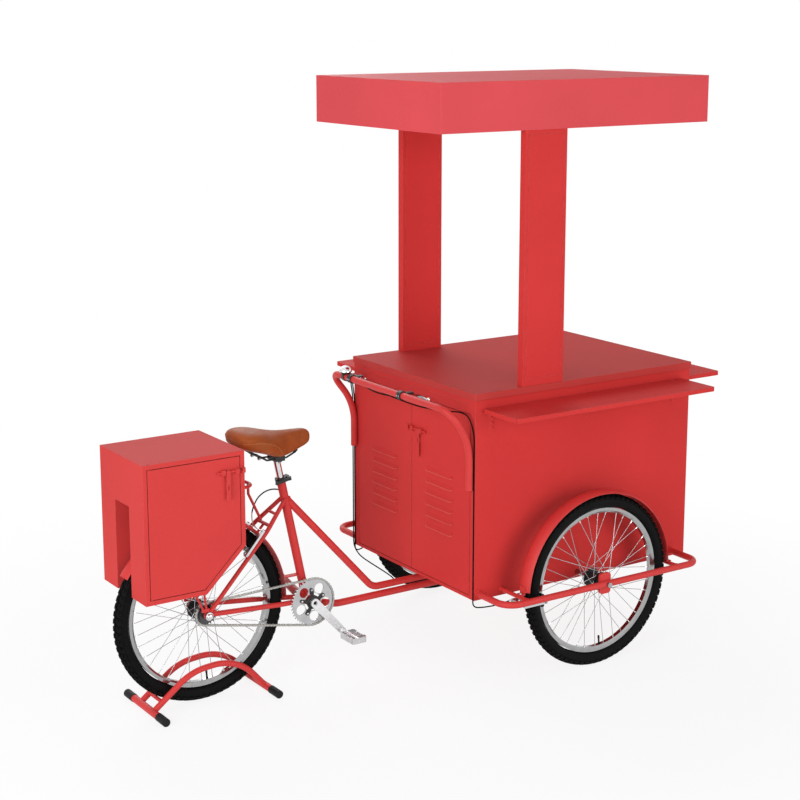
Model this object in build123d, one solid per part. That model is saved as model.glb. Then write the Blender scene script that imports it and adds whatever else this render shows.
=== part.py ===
from build123d import *
import os
from math import acos, atan2, cos, degrees, hypot, pi, radians, sin, sqrt, tan

# Food cart: a two-wheeled counter box with a roof, steered and pushed by the rear half of a bicycle.
# Millimetres, +X forward, +Y to the left, +Z up, floor at Z = 0.
# Pieces are drawn with X = 0 at the rear axle and moved to the middle of the whole cart when written.

# Fits
RUN_FIT = 0.06          # radial room of a turning or sliding fit
SEAT_GAP = 0.2          # room between pieces that rest on each other
SHEET = 2.0             # thickness of folded steel sheet

# Wheels
TYRE_RADIUS = 333.5
TYRE_WIDTH = 56.0
RIM_EDGE_RADIUS = 280.5
RIM_BED_RADIUS = 262.5
RIM_WIDTH = 28.0
RIM_FLANGE = 2.5
SPOKE_COUNT = 36
SPOKE_DIAMETER = 2.3
HUB_FLANGE_RADIUS = 36.0
HUB_FLANGE_OFFSET = 28.0
HUB_FLANGE_THICKNESS = 4.0
HUB_BARREL_RADIUS = 22.0
AXLE_RADIUS = 6.0
FRONT_HUB_HALF = 43.5
REAR_HUB_HALF = 57.0
WHEELBASE = 1400.0
FRONT_WHEEL_Y = 522.0

# Chain drive
CHAIN_PITCH = 12.7
CHAIN_LINKS = 102
CHAINRING_TEETH = 44
SPROCKET_TEETH = 20
ROLLER_RADIUS = 3.6
CHAIN_PLANE_Y = -48.0
CRANK_LENGTH = 180.0
CRANK_ANGLE = -48.0
CRANK_DROP = 40.0       # bottom bracket height below the rear axle

# Cycle frame
SEAT_TUBE_DIAMETER = 32.0
MAIN_TUBE_DIAMETER = 27.0
SEAT_POST_DIAMETER = 27.2
SEAT_TUBE_TOP = (338.0, 0.0, 772.0)
UPPER_TUBE_Z = 280.0
LOWER_TUBE_Z = 246.0
UPPER_TUBE_BEND_X = 733.0
UPPER_TUBE_START_Z = 700.0
DROPOUT_Y = 60.0
DROPOUT_THICKNESS = 6.0
CHAIN_STAY_DIAMETER = 19.0
SEAT_STAY_DIAMETER = 16.0
BB_SHELL_RADIUS = 20.0
BB_SHELL_HALF = 34.0
SPINDLE_RADIUS = 8.5
KING_PIN_RADIUS = 15.0
HEAD_TUBE_RADIUS = 24.0
FENDER_RADIUS = 347.0
FENDER_WIDTH = 62.0

# Counter box
BOX_REAR_X = 914.0
BOX_LENGTH = 1036.0
BOX_HALF_WIDTH = 409.0
BOX_BOTTOM_Z = 309.0
COUNTER_Z = 1089.0
COUNTER_SKIRT = 25.0
COUNTER_OVERHANG = 5.0
DOOR_TOP_Z = 1006.0
DOOR_BOTTOM_Z = 324.0
DOOR_DEPTH = 18.0
DOOR_GAP = 3.0
STILE_WIDTH = 28.0
PIVOT_INSET = 6.0
PIVOT_RADIUS = 4.6
CHASSIS_TUBE = 40.0
CHASSIS_WALL = 3.0

# Shelves
SHELF_TOP_Z = 1030.0
SHELF_THICKNESS = 16.0
SIDE_SHELF_REACH = 606.0    # from the centre line to the outer edge
SIDE_SHELF_X = (950.0, 1900.0)
FRONT_SHELF_DEPTH = 170.0
SHELF_AXIS_OUT = 12.0
SHELF_EDGE_OUT = 4.5
SHELF_PIN_RADIUS = 3.5
BRACKET_WIDTH = 18.0
BRACKET_DROP = 85.0

# Roof
POST_X = (1125.0, 1312.0)
POST_THICKNESS = 32.0
POST_OUT = 1.0              # how far a post stands outside the box's side
POST_OUTER_Y = BOX_HALF_WIDTH + POST_OUT
ROOF_X = (752.0, 1994.0)
ROOF_HALF_WIDTH = 414.0
ROOF_BOTTOM_Z = 2020.0
ROOF_HEIGHT = 175.0

# Wheel guards
GUARD_Y = 585.0
GUARD_DIAMETER = 25.0
GUARD_X = (934.0, 1872.0)
BRACE_DIAMETER = 16.0
BRACE_OFFSET = 362.0
CABLE_DIAMETER = 5.0

# Rear box
REAR_BOX_X = (-286.0, 100.0)
REAR_BOX_HALF_WIDTH = 172.0
REAR_BOX_Z = (455.0, 948.0)
REAR_BOX_CHAMFER = (-55.0, 605.0)
TUNNEL_HALF_WIDTH = 57.0
TUNNEL_TOP_Z = 780.0
REAR_DOOR_INSET = 16.0
REAR_DOOR_DEPTH = 14.0

# Handlebar
BAR_DIAMETER = 26.0
BAR_X = 800.0
BAR_Z = 1040.0
BAR_INSET = 16.5            # from the box's side to the middle of a leg
BAR_HALF_WIDTH = BOX_HALF_WIDTH - BAR_INSET
BAR_FLARE = 20.0            # how far an elbow reaches out past its leg
BAR_LEG_FOOT_Z = 730.0
BAR_LEG_BEND_Z = 905.0

# Stand
STAND_X = (-218.0, 232.0)
STAND_ARCH_Y = 52.0
STAND_TUBE = 22.0
STAND_FOOT = 30.0
STAND_FOOT_HALF = 160.0

# Worked-out places
BOX_FRONT_X = BOX_REAR_X + BOX_LENGTH
SHELF_FRONT_X = BOX_FRONT_X + FRONT_SHELF_DEPTH
SHELF_AXIS_Z = SHELF_TOP_Z - SHELF_THICKNESS / 2
AXLE_Z = TYRE_RADIUS
FRONT_X = WHEELBASE
BB_Z = AXLE_Z - CRANK_DROP
CHAINRING_RADIUS = CHAIN_PITCH / (2 * sin(pi / CHAINRING_TEETH))
SPROCKET_RADIUS = CHAIN_PITCH / (2 * sin(pi / SPROCKET_TEETH))
X_SHIFT = -(SHELF_FRONT_X - TYRE_RADIUS) / 2
REAR_AXLE = Vector(0, 0, AXLE_Z)
LEG_X = BOX_REAR_X - SEAT_GAP - BAR_DIAMETER / 2


def chain_length(distance):
    """Length of an open belt round both pitch circles at this centre distance."""
    lean = acos((CHAINRING_RADIUS - SPROCKET_RADIUS) / distance)
    straight = sqrt(distance ** 2 - (CHAINRING_RADIUS - SPROCKET_RADIUS) ** 2)
    return 2 * straight + 2 * (pi - lean) * CHAINRING_RADIUS + 2 * lean * SPROCKET_RADIUS


def chain_distance():
    """Centre distance at which the chain is an exact number of links long."""
    low = CHAINRING_RADIUS + SPROCKET_RADIUS
    high = CHAIN_LINKS * CHAIN_PITCH
    for _ in range(60):
        middle = (low + high) / 2
        if chain_length(middle) < CHAIN_LINKS * CHAIN_PITCH:
            low = middle
        else:
            high = middle
    return middle


CHAIN_STAY_LENGTH = chain_distance()
BB_X = sqrt(CHAIN_STAY_LENGTH ** 2 - CRANK_DROP ** 2)
BB = Vector(BB_X, 0, BB_Z)


# Small builders

def block(x, y, z):
    """A box given by its low and high corner on each axis."""
    size = Box(x[1] - x[0], y[1] - y[0], z[1] - z[0])
    return Pos((x[0] + x[1]) / 2, (y[0] + y[1]) / 2, (z[0] + z[1]) / 2) * size


def rod(start, end, diameter):
    """A round bar from one point to another."""
    axis = Vector(*end) - Vector(*start)
    plane = Plane(origin=start, z_dir=axis)
    return plane * Cylinder(diameter / 2, axis.length, align=(Align.CENTER, Align.CENTER, Align.MIN))


def bent_bar(points, bend, diameter):
    """A round bar swept along straight runs joined by tangent arcs."""
    path = FilletPolyline(*points, radius=bend)
    section = Plane(origin=path @ 0, z_dir=path % 0) * Circle(diameter / 2)
    return sweep(section, path=path)


def turned(points):
    """A ring turned about the Y axis from (radius, y) corners."""
    return revolve(make_face(Polyline(*points, close=True)), axis=Axis.Y)


def mirrored(shape):
    """The same piece on the other side of the centre line."""
    return mirror(shape, about=Plane.XZ)


def along_y(outline, y_low, y_high):
    """An outline drawn as (x, z) and given thickness along Y."""
    face = Plane((0, y_low, 0), x_dir=(1, 0, 0), z_dir=(0, -1, 0)) * outline
    return extrude(face, amount=y_high - y_low, dir=(0, 1, 0))


def hex_nut(across_flats, bore_radius, thickness):
    """A hexagon nut standing on the XY plane."""
    outline = RegularPolygon(across_flats / 2, 6, major_radius=False) - Circle(bore_radius)
    return extrude(outline, amount=thickness)


def along_axis_y(shape, y):
    """Turn a piece that stands on the XY plane so that it points to +Y from this place."""
    return Pos(0, y, 0) * Rot(-90, 0, 0) * shape


# Wheels, drawn at the origin with the axle along Y

def tyre():
    """Casing with the inflated tube inside it, as one rubber section down to the rim's edge."""
    crown_radius = TYRE_RADIUS - TYRE_WIDTH / 2
    bead = RIM_EDGE_RADIUS + SEAT_GAP
    below_bead = Pos(bead / 2, 0) * Rectangle(bead, TYRE_WIDTH)
    section = Pos(crown_radius, 0) * Circle(TYRE_WIDTH / 2) - below_bead
    return revolve(section, axis=Axis.Y)


def rim():
    half = RIM_WIDTH / 2
    well = RIM_EDGE_RADIUS - 8.5
    shoulder = RIM_BED_RADIUS + 7.0
    outline = [
        (RIM_EDGE_RADIUS, -half), (shoulder, -half), (RIM_BED_RADIUS, -half + 5.0),
        (RIM_BED_RADIUS, half - 5.0), (shoulder, half), (RIM_EDGE_RADIUS, half),
        (RIM_EDGE_RADIUS, half - RIM_FLANGE), (well, half - RIM_FLANGE),
        (well, -half + RIM_FLANGE), (RIM_EDGE_RADIUS, -half + RIM_FLANGE),
    ]
    return turned(outline)


def spokes():
    """Half of the spokes leave each flange, leading and trailing by turns, and cross three others."""
    bars = []
    start_radius = HUB_FLANGE_RADIUS + SPOKE_DIAMETER / 2 + 2 * SEAT_GAP
    end_radius = RIM_BED_RADIUS - SEAT_GAP
    step = 360.0 / SPOKE_COUNT
    lace = 3 * 2 * step
    for index in range(SPOKE_COUNT):
        side = 1 if index % 2 == 0 else -1
        lead = 1 if (index // 2) % 2 == 0 else -1
        rim_angle = radians(index * step)
        hub_angle = radians(index * step + lead * lace)
        hub_y = side * HUB_FLANGE_OFFSET + lead * 3.2
        start = (start_radius * cos(hub_angle), hub_y, start_radius * sin(hub_angle))
        end = (end_radius * cos(rim_angle), side * 3.0, end_radius * sin(rim_angle))
        bars.append(rod(start, end, SPOKE_DIAMETER))
    return bars


def hub(half_length, sprocket_seat):
    """Barrel with two spoke flanges. The rear one has a turned seat for the sprocket on its right."""
    bore = AXLE_RADIUS + RUN_FIT
    collar = HUB_BARREL_RADIUS - 6.0
    inner = HUB_FLANGE_OFFSET - HUB_FLANGE_THICKNESS / 2
    outer = HUB_FLANGE_OFFSET + HUB_FLANGE_THICKNESS / 2
    right_collar = sprocket_seat if sprocket_seat else collar
    outline = [
        (bore, -half_length), (right_collar, -half_length), (right_collar, -outer - 4.0),
        (HUB_BARREL_RADIUS, -outer), (HUB_FLANGE_RADIUS, -outer), (HUB_FLANGE_RADIUS, -inner),
        (HUB_BARREL_RADIUS, -inner), (HUB_BARREL_RADIUS, inner), (HUB_FLANGE_RADIUS, inner),
        (HUB_FLANGE_RADIUS, outer), (HUB_BARREL_RADIUS, outer), (collar, outer + 4.0),
        (collar, half_length), (bore, half_length),
    ]
    return turned(outline)


def sprocket_blank(teeth, pitch_radius, thickness):
    """Toothed disc: a roller seat cut between each pair of teeth."""
    disc = Circle(pitch_radius + 2.2)
    seats = PolarLocations(pitch_radius, teeth) * Circle(ROLLER_RADIUS + 1.2)
    return extrude(disc - seats, amount=thickness / 2, both=True)


def upright(shape):
    """Turn a disc drawn on the XY plane so that its axis lies along Y."""
    return Rot(90, 0, 0) * shape


# Chain drive

FREEWHEEL_BORE = HUB_BARREL_RADIUS - 6.0


def chain_frame():
    """Angle of the line from rear axle to bottom bracket, and the angle from it to where the chain leaves."""
    line = atan2(BB_Z - AXLE_Z, BB_X)
    spread = pi - acos((CHAINRING_RADIUS - SPROCKET_RADIUS) / CHAIN_STAY_LENGTH)
    return line, spread


def roller_angle(centre_x, centre_z, radius, direction):
    """Angle, in degrees, of the roller nearest to this direction on a pitch circle."""
    spot_x = centre_x + radius * cos(direction)
    spot_z = centre_z + radius * sin(direction)
    x, z = min(chain_points(), key=lambda spot: hypot(spot[0] - spot_x, spot[1] - spot_z))
    return degrees(atan2(z - centre_z, x - centre_x))


def freewheel():
    """Sprocket on a short body that turns freely on the hub's seat, its tooth gaps on the rollers."""
    line, spread = chain_frame()
    teeth = sprocket_blank(SPROCKET_TEETH, SPROCKET_RADIUS, 2.2)
    body = extrude(Circle(SPROCKET_RADIUS - 12.0), amount=6.0, both=True)
    disc = teeth + body - Cylinder(FREEWHEEL_BORE + RUN_FIT, 40)
    gap = roller_angle(0, AXLE_Z, SPROCKET_RADIUS, line + pi)
    return Pos(0, CHAIN_PLANE_Y, AXLE_Z) * upright(Rot(0, 0, gap) * disc)


def chainring():
    """Toothed ring, its tooth gaps on the rollers, with five round windows between the spider's legs."""
    line, spread = chain_frame()
    gap = roller_angle(BB_X, BB_Z, CHAINRING_RADIUS, line)
    plate = Rot(0, 0, gap) * sprocket_blank(CHAINRING_TEETH, CHAINRING_RADIUS, 3.0)
    for index in range(5):
        plate -= Rot(0, 0, 72 * index + 36 + CRANK_ANGLE) * Pos(55, 0, 0) * Cylinder(19.0, 20)
    plate -= Cylinder(34.0, 20)
    return Pos(BB_X, CHAIN_PLANE_Y, BB_Z) * upright(plate)


def crank_spider():
    """Five-legged spider behind the right crank arm, bolted flat against the chainring's outer face."""
    legs = Circle(26.0)
    for index in range(5):
        legs += Rot(0, 0, 72 * index + CRANK_ANGLE) * Pos(26, 0) * SlotOverall(56, 13)
    plate = extrude(legs, amount=5.0)
    plate -= Cylinder(SPINDLE_RADIUS + SEAT_GAP, 30)
    face_y = CHAIN_PLANE_Y - 1.5
    return Pos(BB_X, face_y, BB_Z) * upright(plate)


PEDAL_Y = (92.0, 186.0)
CRANK_FACE_Y = (56.0, 70.0)


def crank_end(side):
    """Centre of the pedal spindle on this side: right is -1 and points down and forward."""
    turn = radians(CRANK_ANGLE if side < 0 else CRANK_ANGLE + 180)
    return BB_X + CRANK_LENGTH * cos(turn), BB_Z + CRANK_LENGTH * sin(turn)


def crank_arm(side):
    """Tapered forged arm, with the pedal spindle screwed into its end."""
    end_x, end_z = crank_end(side)
    turn = CRANK_ANGLE if side < 0 else CRANK_ANGLE + 180
    boss = Circle(17.0)
    eye = Pos(CRANK_LENGTH, 0) * Circle(13.0)
    blade = make_hull(boss.edges() + eye.edges())
    outline = Pos(BB_X, BB_Z) * Rot(0, 0, turn) * (blade - Circle(SPINDLE_RADIUS + SEAT_GAP / 2))
    low, high = sorted((side * CRANK_FACE_Y[0], side * CRANK_FACE_Y[1]))
    arm = along_y(outline, low, high)
    inner = (end_x, side * CRANK_FACE_Y[1], end_z)
    outer = (end_x, side * (PEDAL_Y[1] - 4), end_z)
    collar = (end_x, side * (PEDAL_Y[0] - 3), end_z)
    return arm + rod(inner, outer, 9.0) + rod(inner, collar, 16.0)


def pedal(side):
    """Cage pedal: a barrel on the spindle, two cross plates and a rim of folded plate round them."""
    end_x, end_z = crank_end(side)
    low, high = sorted((side * PEDAL_Y[0], side * PEDAL_Y[1]))
    cage_x = (end_x - 31, end_x + 31)
    cage = block(cage_x, (low, high), (end_z - 11, end_z + 11))
    cage = fillet(cage.edges().filter_by(Axis.Z), 9)
    space = block((end_x - 28, end_x + 28), (low + 3, high - 3), (end_z - 30, end_z + 30))
    notch = block((end_x - 40, end_x + 40), (low + 22, high - 22), (end_z + 7, end_z + 20))
    barrel = rod((end_x, low, end_z), (end_x, high, end_z), 17.0)
    webs = block((end_x - 29, end_x + 29), (low + 28, low + 32), (end_z - 7, end_z + 7))
    webs += block((end_x - 29, end_x + 29), (high - 32, high - 28), (end_z - 7, end_z + 7))
    body = cage - space - notch + barrel + webs
    return body - rod((end_x, low - 5, end_z), (end_x, high + 5, end_z), 9.0 + 2 * RUN_FIT)


def spindle():
    half = CRANK_FACE_Y[1] - 4
    return rod((BB_X, -half, BB_Z), (BB_X, half, BB_Z), 2 * SPINDLE_RADIUS)


def chain_points():
    """Roller centres, one pitch apart along the loop, starting where the chain reaches the sprocket."""
    line, spread = chain_frame()
    run = sqrt(CHAIN_STAY_LENGTH ** 2 - (CHAINRING_RADIUS - SPROCKET_RADIUS) ** 2)
    rear_arc = (2 * pi - 2 * spread) * SPROCKET_RADIUS
    front_arc = 2 * spread * CHAINRING_RADIUS
    top = line + spread
    bottom = line - spread
    spots = []
    pitch = (rear_arc + front_arc + 2 * run) / CHAIN_LINKS
    for index in range(CHAIN_LINKS):
        way = index * pitch
        if way < run:
            x = SPROCKET_RADIUS * cos(top)
            z = AXLE_Z + SPROCKET_RADIUS * sin(top)
            end_x = BB_X + CHAINRING_RADIUS * cos(top)
            end_z = BB_Z + CHAINRING_RADIUS * sin(top)
            part = way / run
            spots.append((x + (end_x - x) * part, z + (end_z - z) * part))
        elif way < run + front_arc:
            angle = top - (way - run) / CHAINRING_RADIUS
            spots.append((BB_X + CHAINRING_RADIUS * cos(angle), BB_Z + CHAINRING_RADIUS * sin(angle)))
        elif way < 2 * run + front_arc:
            x = BB_X + CHAINRING_RADIUS * cos(bottom)
            z = BB_Z + CHAINRING_RADIUS * sin(bottom)
            end_x = SPROCKET_RADIUS * cos(bottom)
            end_z = AXLE_Z + SPROCKET_RADIUS * sin(bottom)
            part = (way - run - front_arc) / run
            spots.append((x + (end_x - x) * part, z + (end_z - z) * part))
        else:
            angle = bottom - (way - 2 * run - front_arc) / SPROCKET_RADIUS
            spots.append((SPROCKET_RADIUS * cos(angle), AXLE_Z + SPROCKET_RADIUS * sin(angle)))
    return spots


def chain():
    """Roller chain: two bands of side plates held apart by a roller at each pitch."""
    line, spread = chain_frame()
    top = line + spread
    bottom = line - spread
    plate_half = 4.2
    plate = 1.2
    gap_half = 2.3

    def band_outline(growth):
        rear = SPROCKET_RADIUS + growth
        front = CHAINRING_RADIUS + growth
        rear_top = (rear * cos(top), AXLE_Z + rear * sin(top))
        front_top = (BB_X + front * cos(top), BB_Z + front * sin(top))
        front_bottom = (BB_X + front * cos(bottom), BB_Z + front * sin(bottom))
        rear_bottom = (rear * cos(bottom), AXLE_Z + rear * sin(bottom))
        nose = (BB_X + front * cos(line), BB_Z + front * sin(line))
        tail = (-rear * cos(line), AXLE_Z - rear * sin(line))
        edges = [
            Line(rear_top, front_top), ThreePointArc(front_top, nose, front_bottom),
            Line(front_bottom, rear_bottom), ThreePointArc(rear_bottom, tail, rear_top),
        ]
        return make_face(edges)

    band = band_outline(plate_half) - band_outline(-plate_half)
    right = along_y(band, CHAIN_PLANE_Y - gap_half - plate, CHAIN_PLANE_Y - gap_half)
    left = along_y(band, CHAIN_PLANE_Y + gap_half, CHAIN_PLANE_Y + gap_half + plate)
    reach = gap_half + plate / 2
    rollers = [
        rod((x, CHAIN_PLANE_Y - reach, z), (x, CHAIN_PLANE_Y + reach, z), 2 * ROLLER_RADIUS)
        for x, z in chain_points()
    ]
    return (right + rollers) + left


# Cycle frame

def seat_axis_point(z):
    """A point on the seat tube's axis at this height."""
    part = (z - BB_Z) / (SEAT_TUBE_TOP[2] - BB_Z)
    return Vector(BB_X + (SEAT_TUBE_TOP[0] - BB_X) * part, 0, z)


def head_tube_z():
    return LOWER_TUBE_Z - 20.0, UPPER_TUBE_Z + 20.0


def frame_main():
    """Seat tube, bent upper tube and lower tube, welded to the bottom bracket shell and head tube."""
    low, high = head_tube_z()
    seat_tube = rod(BB, SEAT_TUBE_TOP, SEAT_TUBE_DIAMETER)
    shell = rod((BB_X, -BB_SHELL_HALF, BB_Z), (BB_X, BB_SHELL_HALF, BB_Z), 2 * BB_SHELL_RADIUS)
    head = rod((FRONT_X, 0, low), (FRONT_X, 0, high), 2 * HEAD_TUBE_RADIUS)
    start = seat_axis_point(UPPER_TUBE_START_Z)
    upper_points = [start, (UPPER_TUBE_BEND_X, 0, UPPER_TUBE_Z), (FRONT_X, 0, UPPER_TUBE_Z)]
    upper = bent_bar(upper_points, 60, MAIN_TUBE_DIAMETER)
    dip_x = BB_X + 130
    lower_points = [(BB_X, 0, BB_Z - 10), (dip_x, 0, LOWER_TUBE_Z), (FRONT_X, 0, LOWER_TUBE_Z)]
    lower = bent_bar(lower_points, 150, MAIN_TUBE_DIAMETER)
    frame = seat_tube + shell + head + upper + lower
    bore_foot = seat_axis_point(560)
    post_bore = rod(bore_foot, seat_axis_point(SEAT_TUBE_TOP[2] + 20), SEAT_POST_DIAMETER + 2 * RUN_FIT)
    spindle_bore = rod((BB_X, -60, BB_Z), (BB_X, 60, BB_Z), 2 * (SPINDLE_RADIUS + RUN_FIT))
    pin_bore = rod((FRONT_X, 0, low - 5), (FRONT_X, 0, high + 5), 2 * (KING_PIN_RADIUS + RUN_FIT))
    return frame - post_bore - spindle_bore - pin_bore


STAY_FOOT = Vector(8, DROPOUT_Y + 8, AXLE_Z + 14)
STAY_KNEE = Vector(250, 54, 598)
STAY_HEAD_Z = 694.0
BRAKE_BOSS_RADIUS = 5.0
BRAKE_BOSS_FROM_AXLE = RIM_EDGE_RADIUS - 27.5


def brake_boss():
    """Middle of the brake boss on the left seat stay, at a set distance from the rear axle."""
    run = STAY_KNEE - STAY_FOOT
    low, high = 0.0, 1.0
    for _ in range(40):
        middle = (low + high) / 2
        spot = STAY_FOOT + run * middle
        if hypot(spot.X, spot.Z - AXLE_Z) < BRAKE_BOSS_FROM_AXLE:
            low = middle
        else:
            high = middle
    return STAY_FOOT + run * middle


def brake_frame(side):
    """Plane at the brake boss: x points away from the axle, z points backwards along the boss."""
    spot = brake_boss()
    outward = Vector(spot.X, 0, spot.Z - AXLE_Z).normalized()
    backward = Vector(-outward.Z, 0, outward.X)
    return Plane(origin=(spot.X, side * spot.Y, spot.Z), x_dir=outward, z_dir=backward)


def rear_triangle():
    """Chain stays, seat stays, bridges, dropout plates and brake bosses."""
    head = seat_axis_point(STAY_HEAD_Z)
    half = Part()
    drop = Pos(0, AXLE_Z) * (Circle(15) + Pos(16, 4) * Rectangle(34, 24) + Pos(10, 12) * Rectangle(26, 22))
    drop -= Pos(0, AXLE_Z) * Circle(AXLE_RADIUS + RUN_FIT)
    half += along_y(drop, DROPOUT_Y, DROPOUT_Y + DROPOUT_THICKNESS)
    seat_path = [STAY_FOOT, STAY_KNEE, (head.X - 4, 12, head.Z)]
    half += bent_bar(seat_path, 120, SEAT_STAY_DIAMETER)
    chain_foot = (10, DROPOUT_Y + 3, AXLE_Z + 2)
    chain_path = [chain_foot, (BB_X - 124, 40, BB_Z + 12), (BB_X, 19, BB_Z)]
    half += bent_bar(chain_path, 200, CHAIN_STAY_DIAMETER)
    boss_plane = brake_frame(1)
    boss = Cylinder(BRAKE_BOSS_RADIUS, 24, align=(Align.CENTER, Align.CENTER, Align.MIN))
    half += boss_plane * boss
    axle_hole = rod((0, 0, AXLE_Z), (0, 90, AXLE_Z), 2 * (AXLE_RADIUS + RUN_FIT))
    nut_room = rod((0, DROPOUT_Y + DROPOUT_THICKNESS, AXLE_Z), (0, 100, AXLE_Z), 28)
    half = half - axle_hole - nut_room
    inside = block((-60, BB_X), (0, DROPOUT_Y), (AXLE_Z - 20, AXLE_Z + 40))
    half -= inside & rod((0, 0, AXLE_Z), (0, DROPOUT_Y, AXLE_Z), 80)
    knee_bridge = rod((268, -50, 613), (268, 50, 613), 13)
    top_bridge = rod((302, -36, 648), (302, 36, 648), 11)
    triangle = half + mirrored(half) + knee_bridge + top_bridge
    return triangle - frame_main_envelope()


def frame_main_envelope():
    """The main frame's tubes without their bores, to shape what is welded against them."""
    seat_tube = rod(BB - Vector(0, 0, 1), SEAT_TUBE_TOP, SEAT_TUBE_DIAMETER)
    shell = rod((BB_X, -BB_SHELL_HALF, BB_Z), (BB_X, BB_SHELL_HALF, BB_Z), 2 * BB_SHELL_RADIUS)
    start = seat_axis_point(UPPER_TUBE_START_Z)
    upper = rod(start, (UPPER_TUBE_BEND_X, 0, UPPER_TUBE_Z), MAIN_TUBE_DIAMETER)
    return seat_tube + shell + upper


def fender_shell(start_angle, sweep_angle):
    """Rolled mudguard, curved across its width, about the wheel centre at the origin."""
    half = FENDER_WIDTH / 2
    drop = 9.0
    edge = FENDER_RADIUS - drop
    outer = ThreePointArc((edge, -half), (FENDER_RADIUS + SHEET, 0), (edge, half))
    inner_half = half - SHEET
    inner = ThreePointArc((edge, inner_half), (FENDER_RADIUS, 0), (edge, -inner_half))
    ends = [Line(outer @ 1, inner @ 0), Line(inner @ 1, outer @ 0)]
    face = make_face([outer, ends[0], inner, ends[1]])
    ring = revolve(face, axis=Axis.Y, revolution_arc=sweep_angle)
    return Rot(0, -start_angle - sweep_angle, 0) * ring


def rear_fender():
    """Rear mudguard with a tab to the stay bridge and a bracket to the seat tube."""
    shell = Pos(0, 0, AXLE_Z) * fender_shell(-2.5, 151.0)
    bridge = Vector(268, 0, 613) - REAR_AXLE
    tab_dir = Vector(bridge.X, 0, bridge.Z).normalized()
    tab_start = REAR_AXLE + tab_dir * (FENDER_RADIUS + 1)
    tab_end = REAR_AXLE + tab_dir * (bridge.length - 6.5 - SEAT_GAP)
    tab = rod(tab_start, tab_end, 10)
    height = AXLE_Z + 60
    foot = seat_axis_point(height)
    start_x = sqrt(FENDER_RADIUS ** 2 - 60 ** 2)
    bracket = block((start_x, foot.X), (-12, 12), (height - 2, height + 2))
    bracket -= rod(BB, SEAT_TUBE_TOP, SEAT_TUBE_DIAMETER + 2 * SEAT_GAP)
    return shell + tab + bracket


# Rear box, its carrier and its door

CARRIER_Y = 46.0
CARRIER_Z = TUNNEL_TOP_Z - SEAT_GAP - 6.0
CARRIER_NOSE_X = 205.0


def box_carrier():
    """Looped tube under the tunnel roof, with two struts a side down to the dropouts and a front stay."""
    rear_x = REAR_BOX_X[0] + 20
    loop_points = [
        (rear_x, -CARRIER_Y, CARRIER_Z), (CARRIER_NOSE_X, -CARRIER_Y, CARRIER_Z),
        (CARRIER_NOSE_X, CARRIER_Y, CARRIER_Z), (rear_x, CARRIER_Y, CARRIER_Z),
    ]
    carrier = bent_bar(loop_points, 38, 12)
    for x in (rear_x + 30, -100, 60):
        carrier += rod((x, -CARRIER_Y, CARRIER_Z), (x, CARRIER_Y, CARRIER_Z), 10)
    foot_y = DROPOUT_Y + DROPOUT_THICKNESS + SEAT_GAP + 4
    for side in (-1, 1):
        for top_x, foot_x in ((-170, -20), (-20, -8)):
            foot = (foot_x, side * foot_y, AXLE_Z + 24)
            knee = (foot_x + (top_x - foot_x) * 0.3, side * CARRIER_Y, AXLE_Z + 140)
            top = (top_x, side * CARRIER_Y, CARRIER_Z)
            carrier += bent_bar([foot, knee, top], 60, 8)
        pad = (0, side * (foot_y - 4)), (0, side * (foot_y + 4))
        low, high = sorted((pad[0][1], pad[1][1]))
        carrier += block((-26, 2), (low, high), (AXLE_Z + 17, AXLE_Z + 29))
    carrier += rod((CARRIER_NOSE_X, 0, CARRIER_Z), (CARRIER_NOSE_X, 0, CARRIER_Z - 40), 10)
    carrier += rod((CARRIER_NOSE_X, 0, CARRIER_Z - 40), (255, 0, 628), 10)
    bridge_room = rod((268, -60, 613), (268, 60, 613), 13 + 2 * SEAT_GAP)
    return carrier - bridge_room


def rear_side_outline(inset):
    """Side view of the rear box, with its cut lower front corner, drawn smaller by the inset."""
    x0, x1 = REAR_BOX_X
    z0, z1 = REAR_BOX_Z
    chamfer_x, chamfer_z = REAR_BOX_CHAMFER
    outline = make_face(Polyline((x0, z0), (chamfer_x, z0), (x1, chamfer_z), (x1, z1), (x0, z1), close=True))
    if inset:
        outline = offset(outline, -inset, kind=Kind.INTERSECTION)
    return outline


REAR_DOOR_PIVOT_X = REAR_BOX_X[0] + REAR_DOOR_INSET + DOOR_GAP + PIVOT_INSET
REAR_DOOR_PIVOT_Y = -REAR_BOX_HALF_WIDTH + PIVOT_INSET
REAR_BOLT_Z = 881.0


def rear_door_pivot(z_low, z_high, radius):
    spot = (REAR_DOOR_PIVOT_X, REAR_DOOR_PIVOT_Y)
    return rod((*spot, z_low), (*spot, z_high), 2 * radius)


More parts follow.
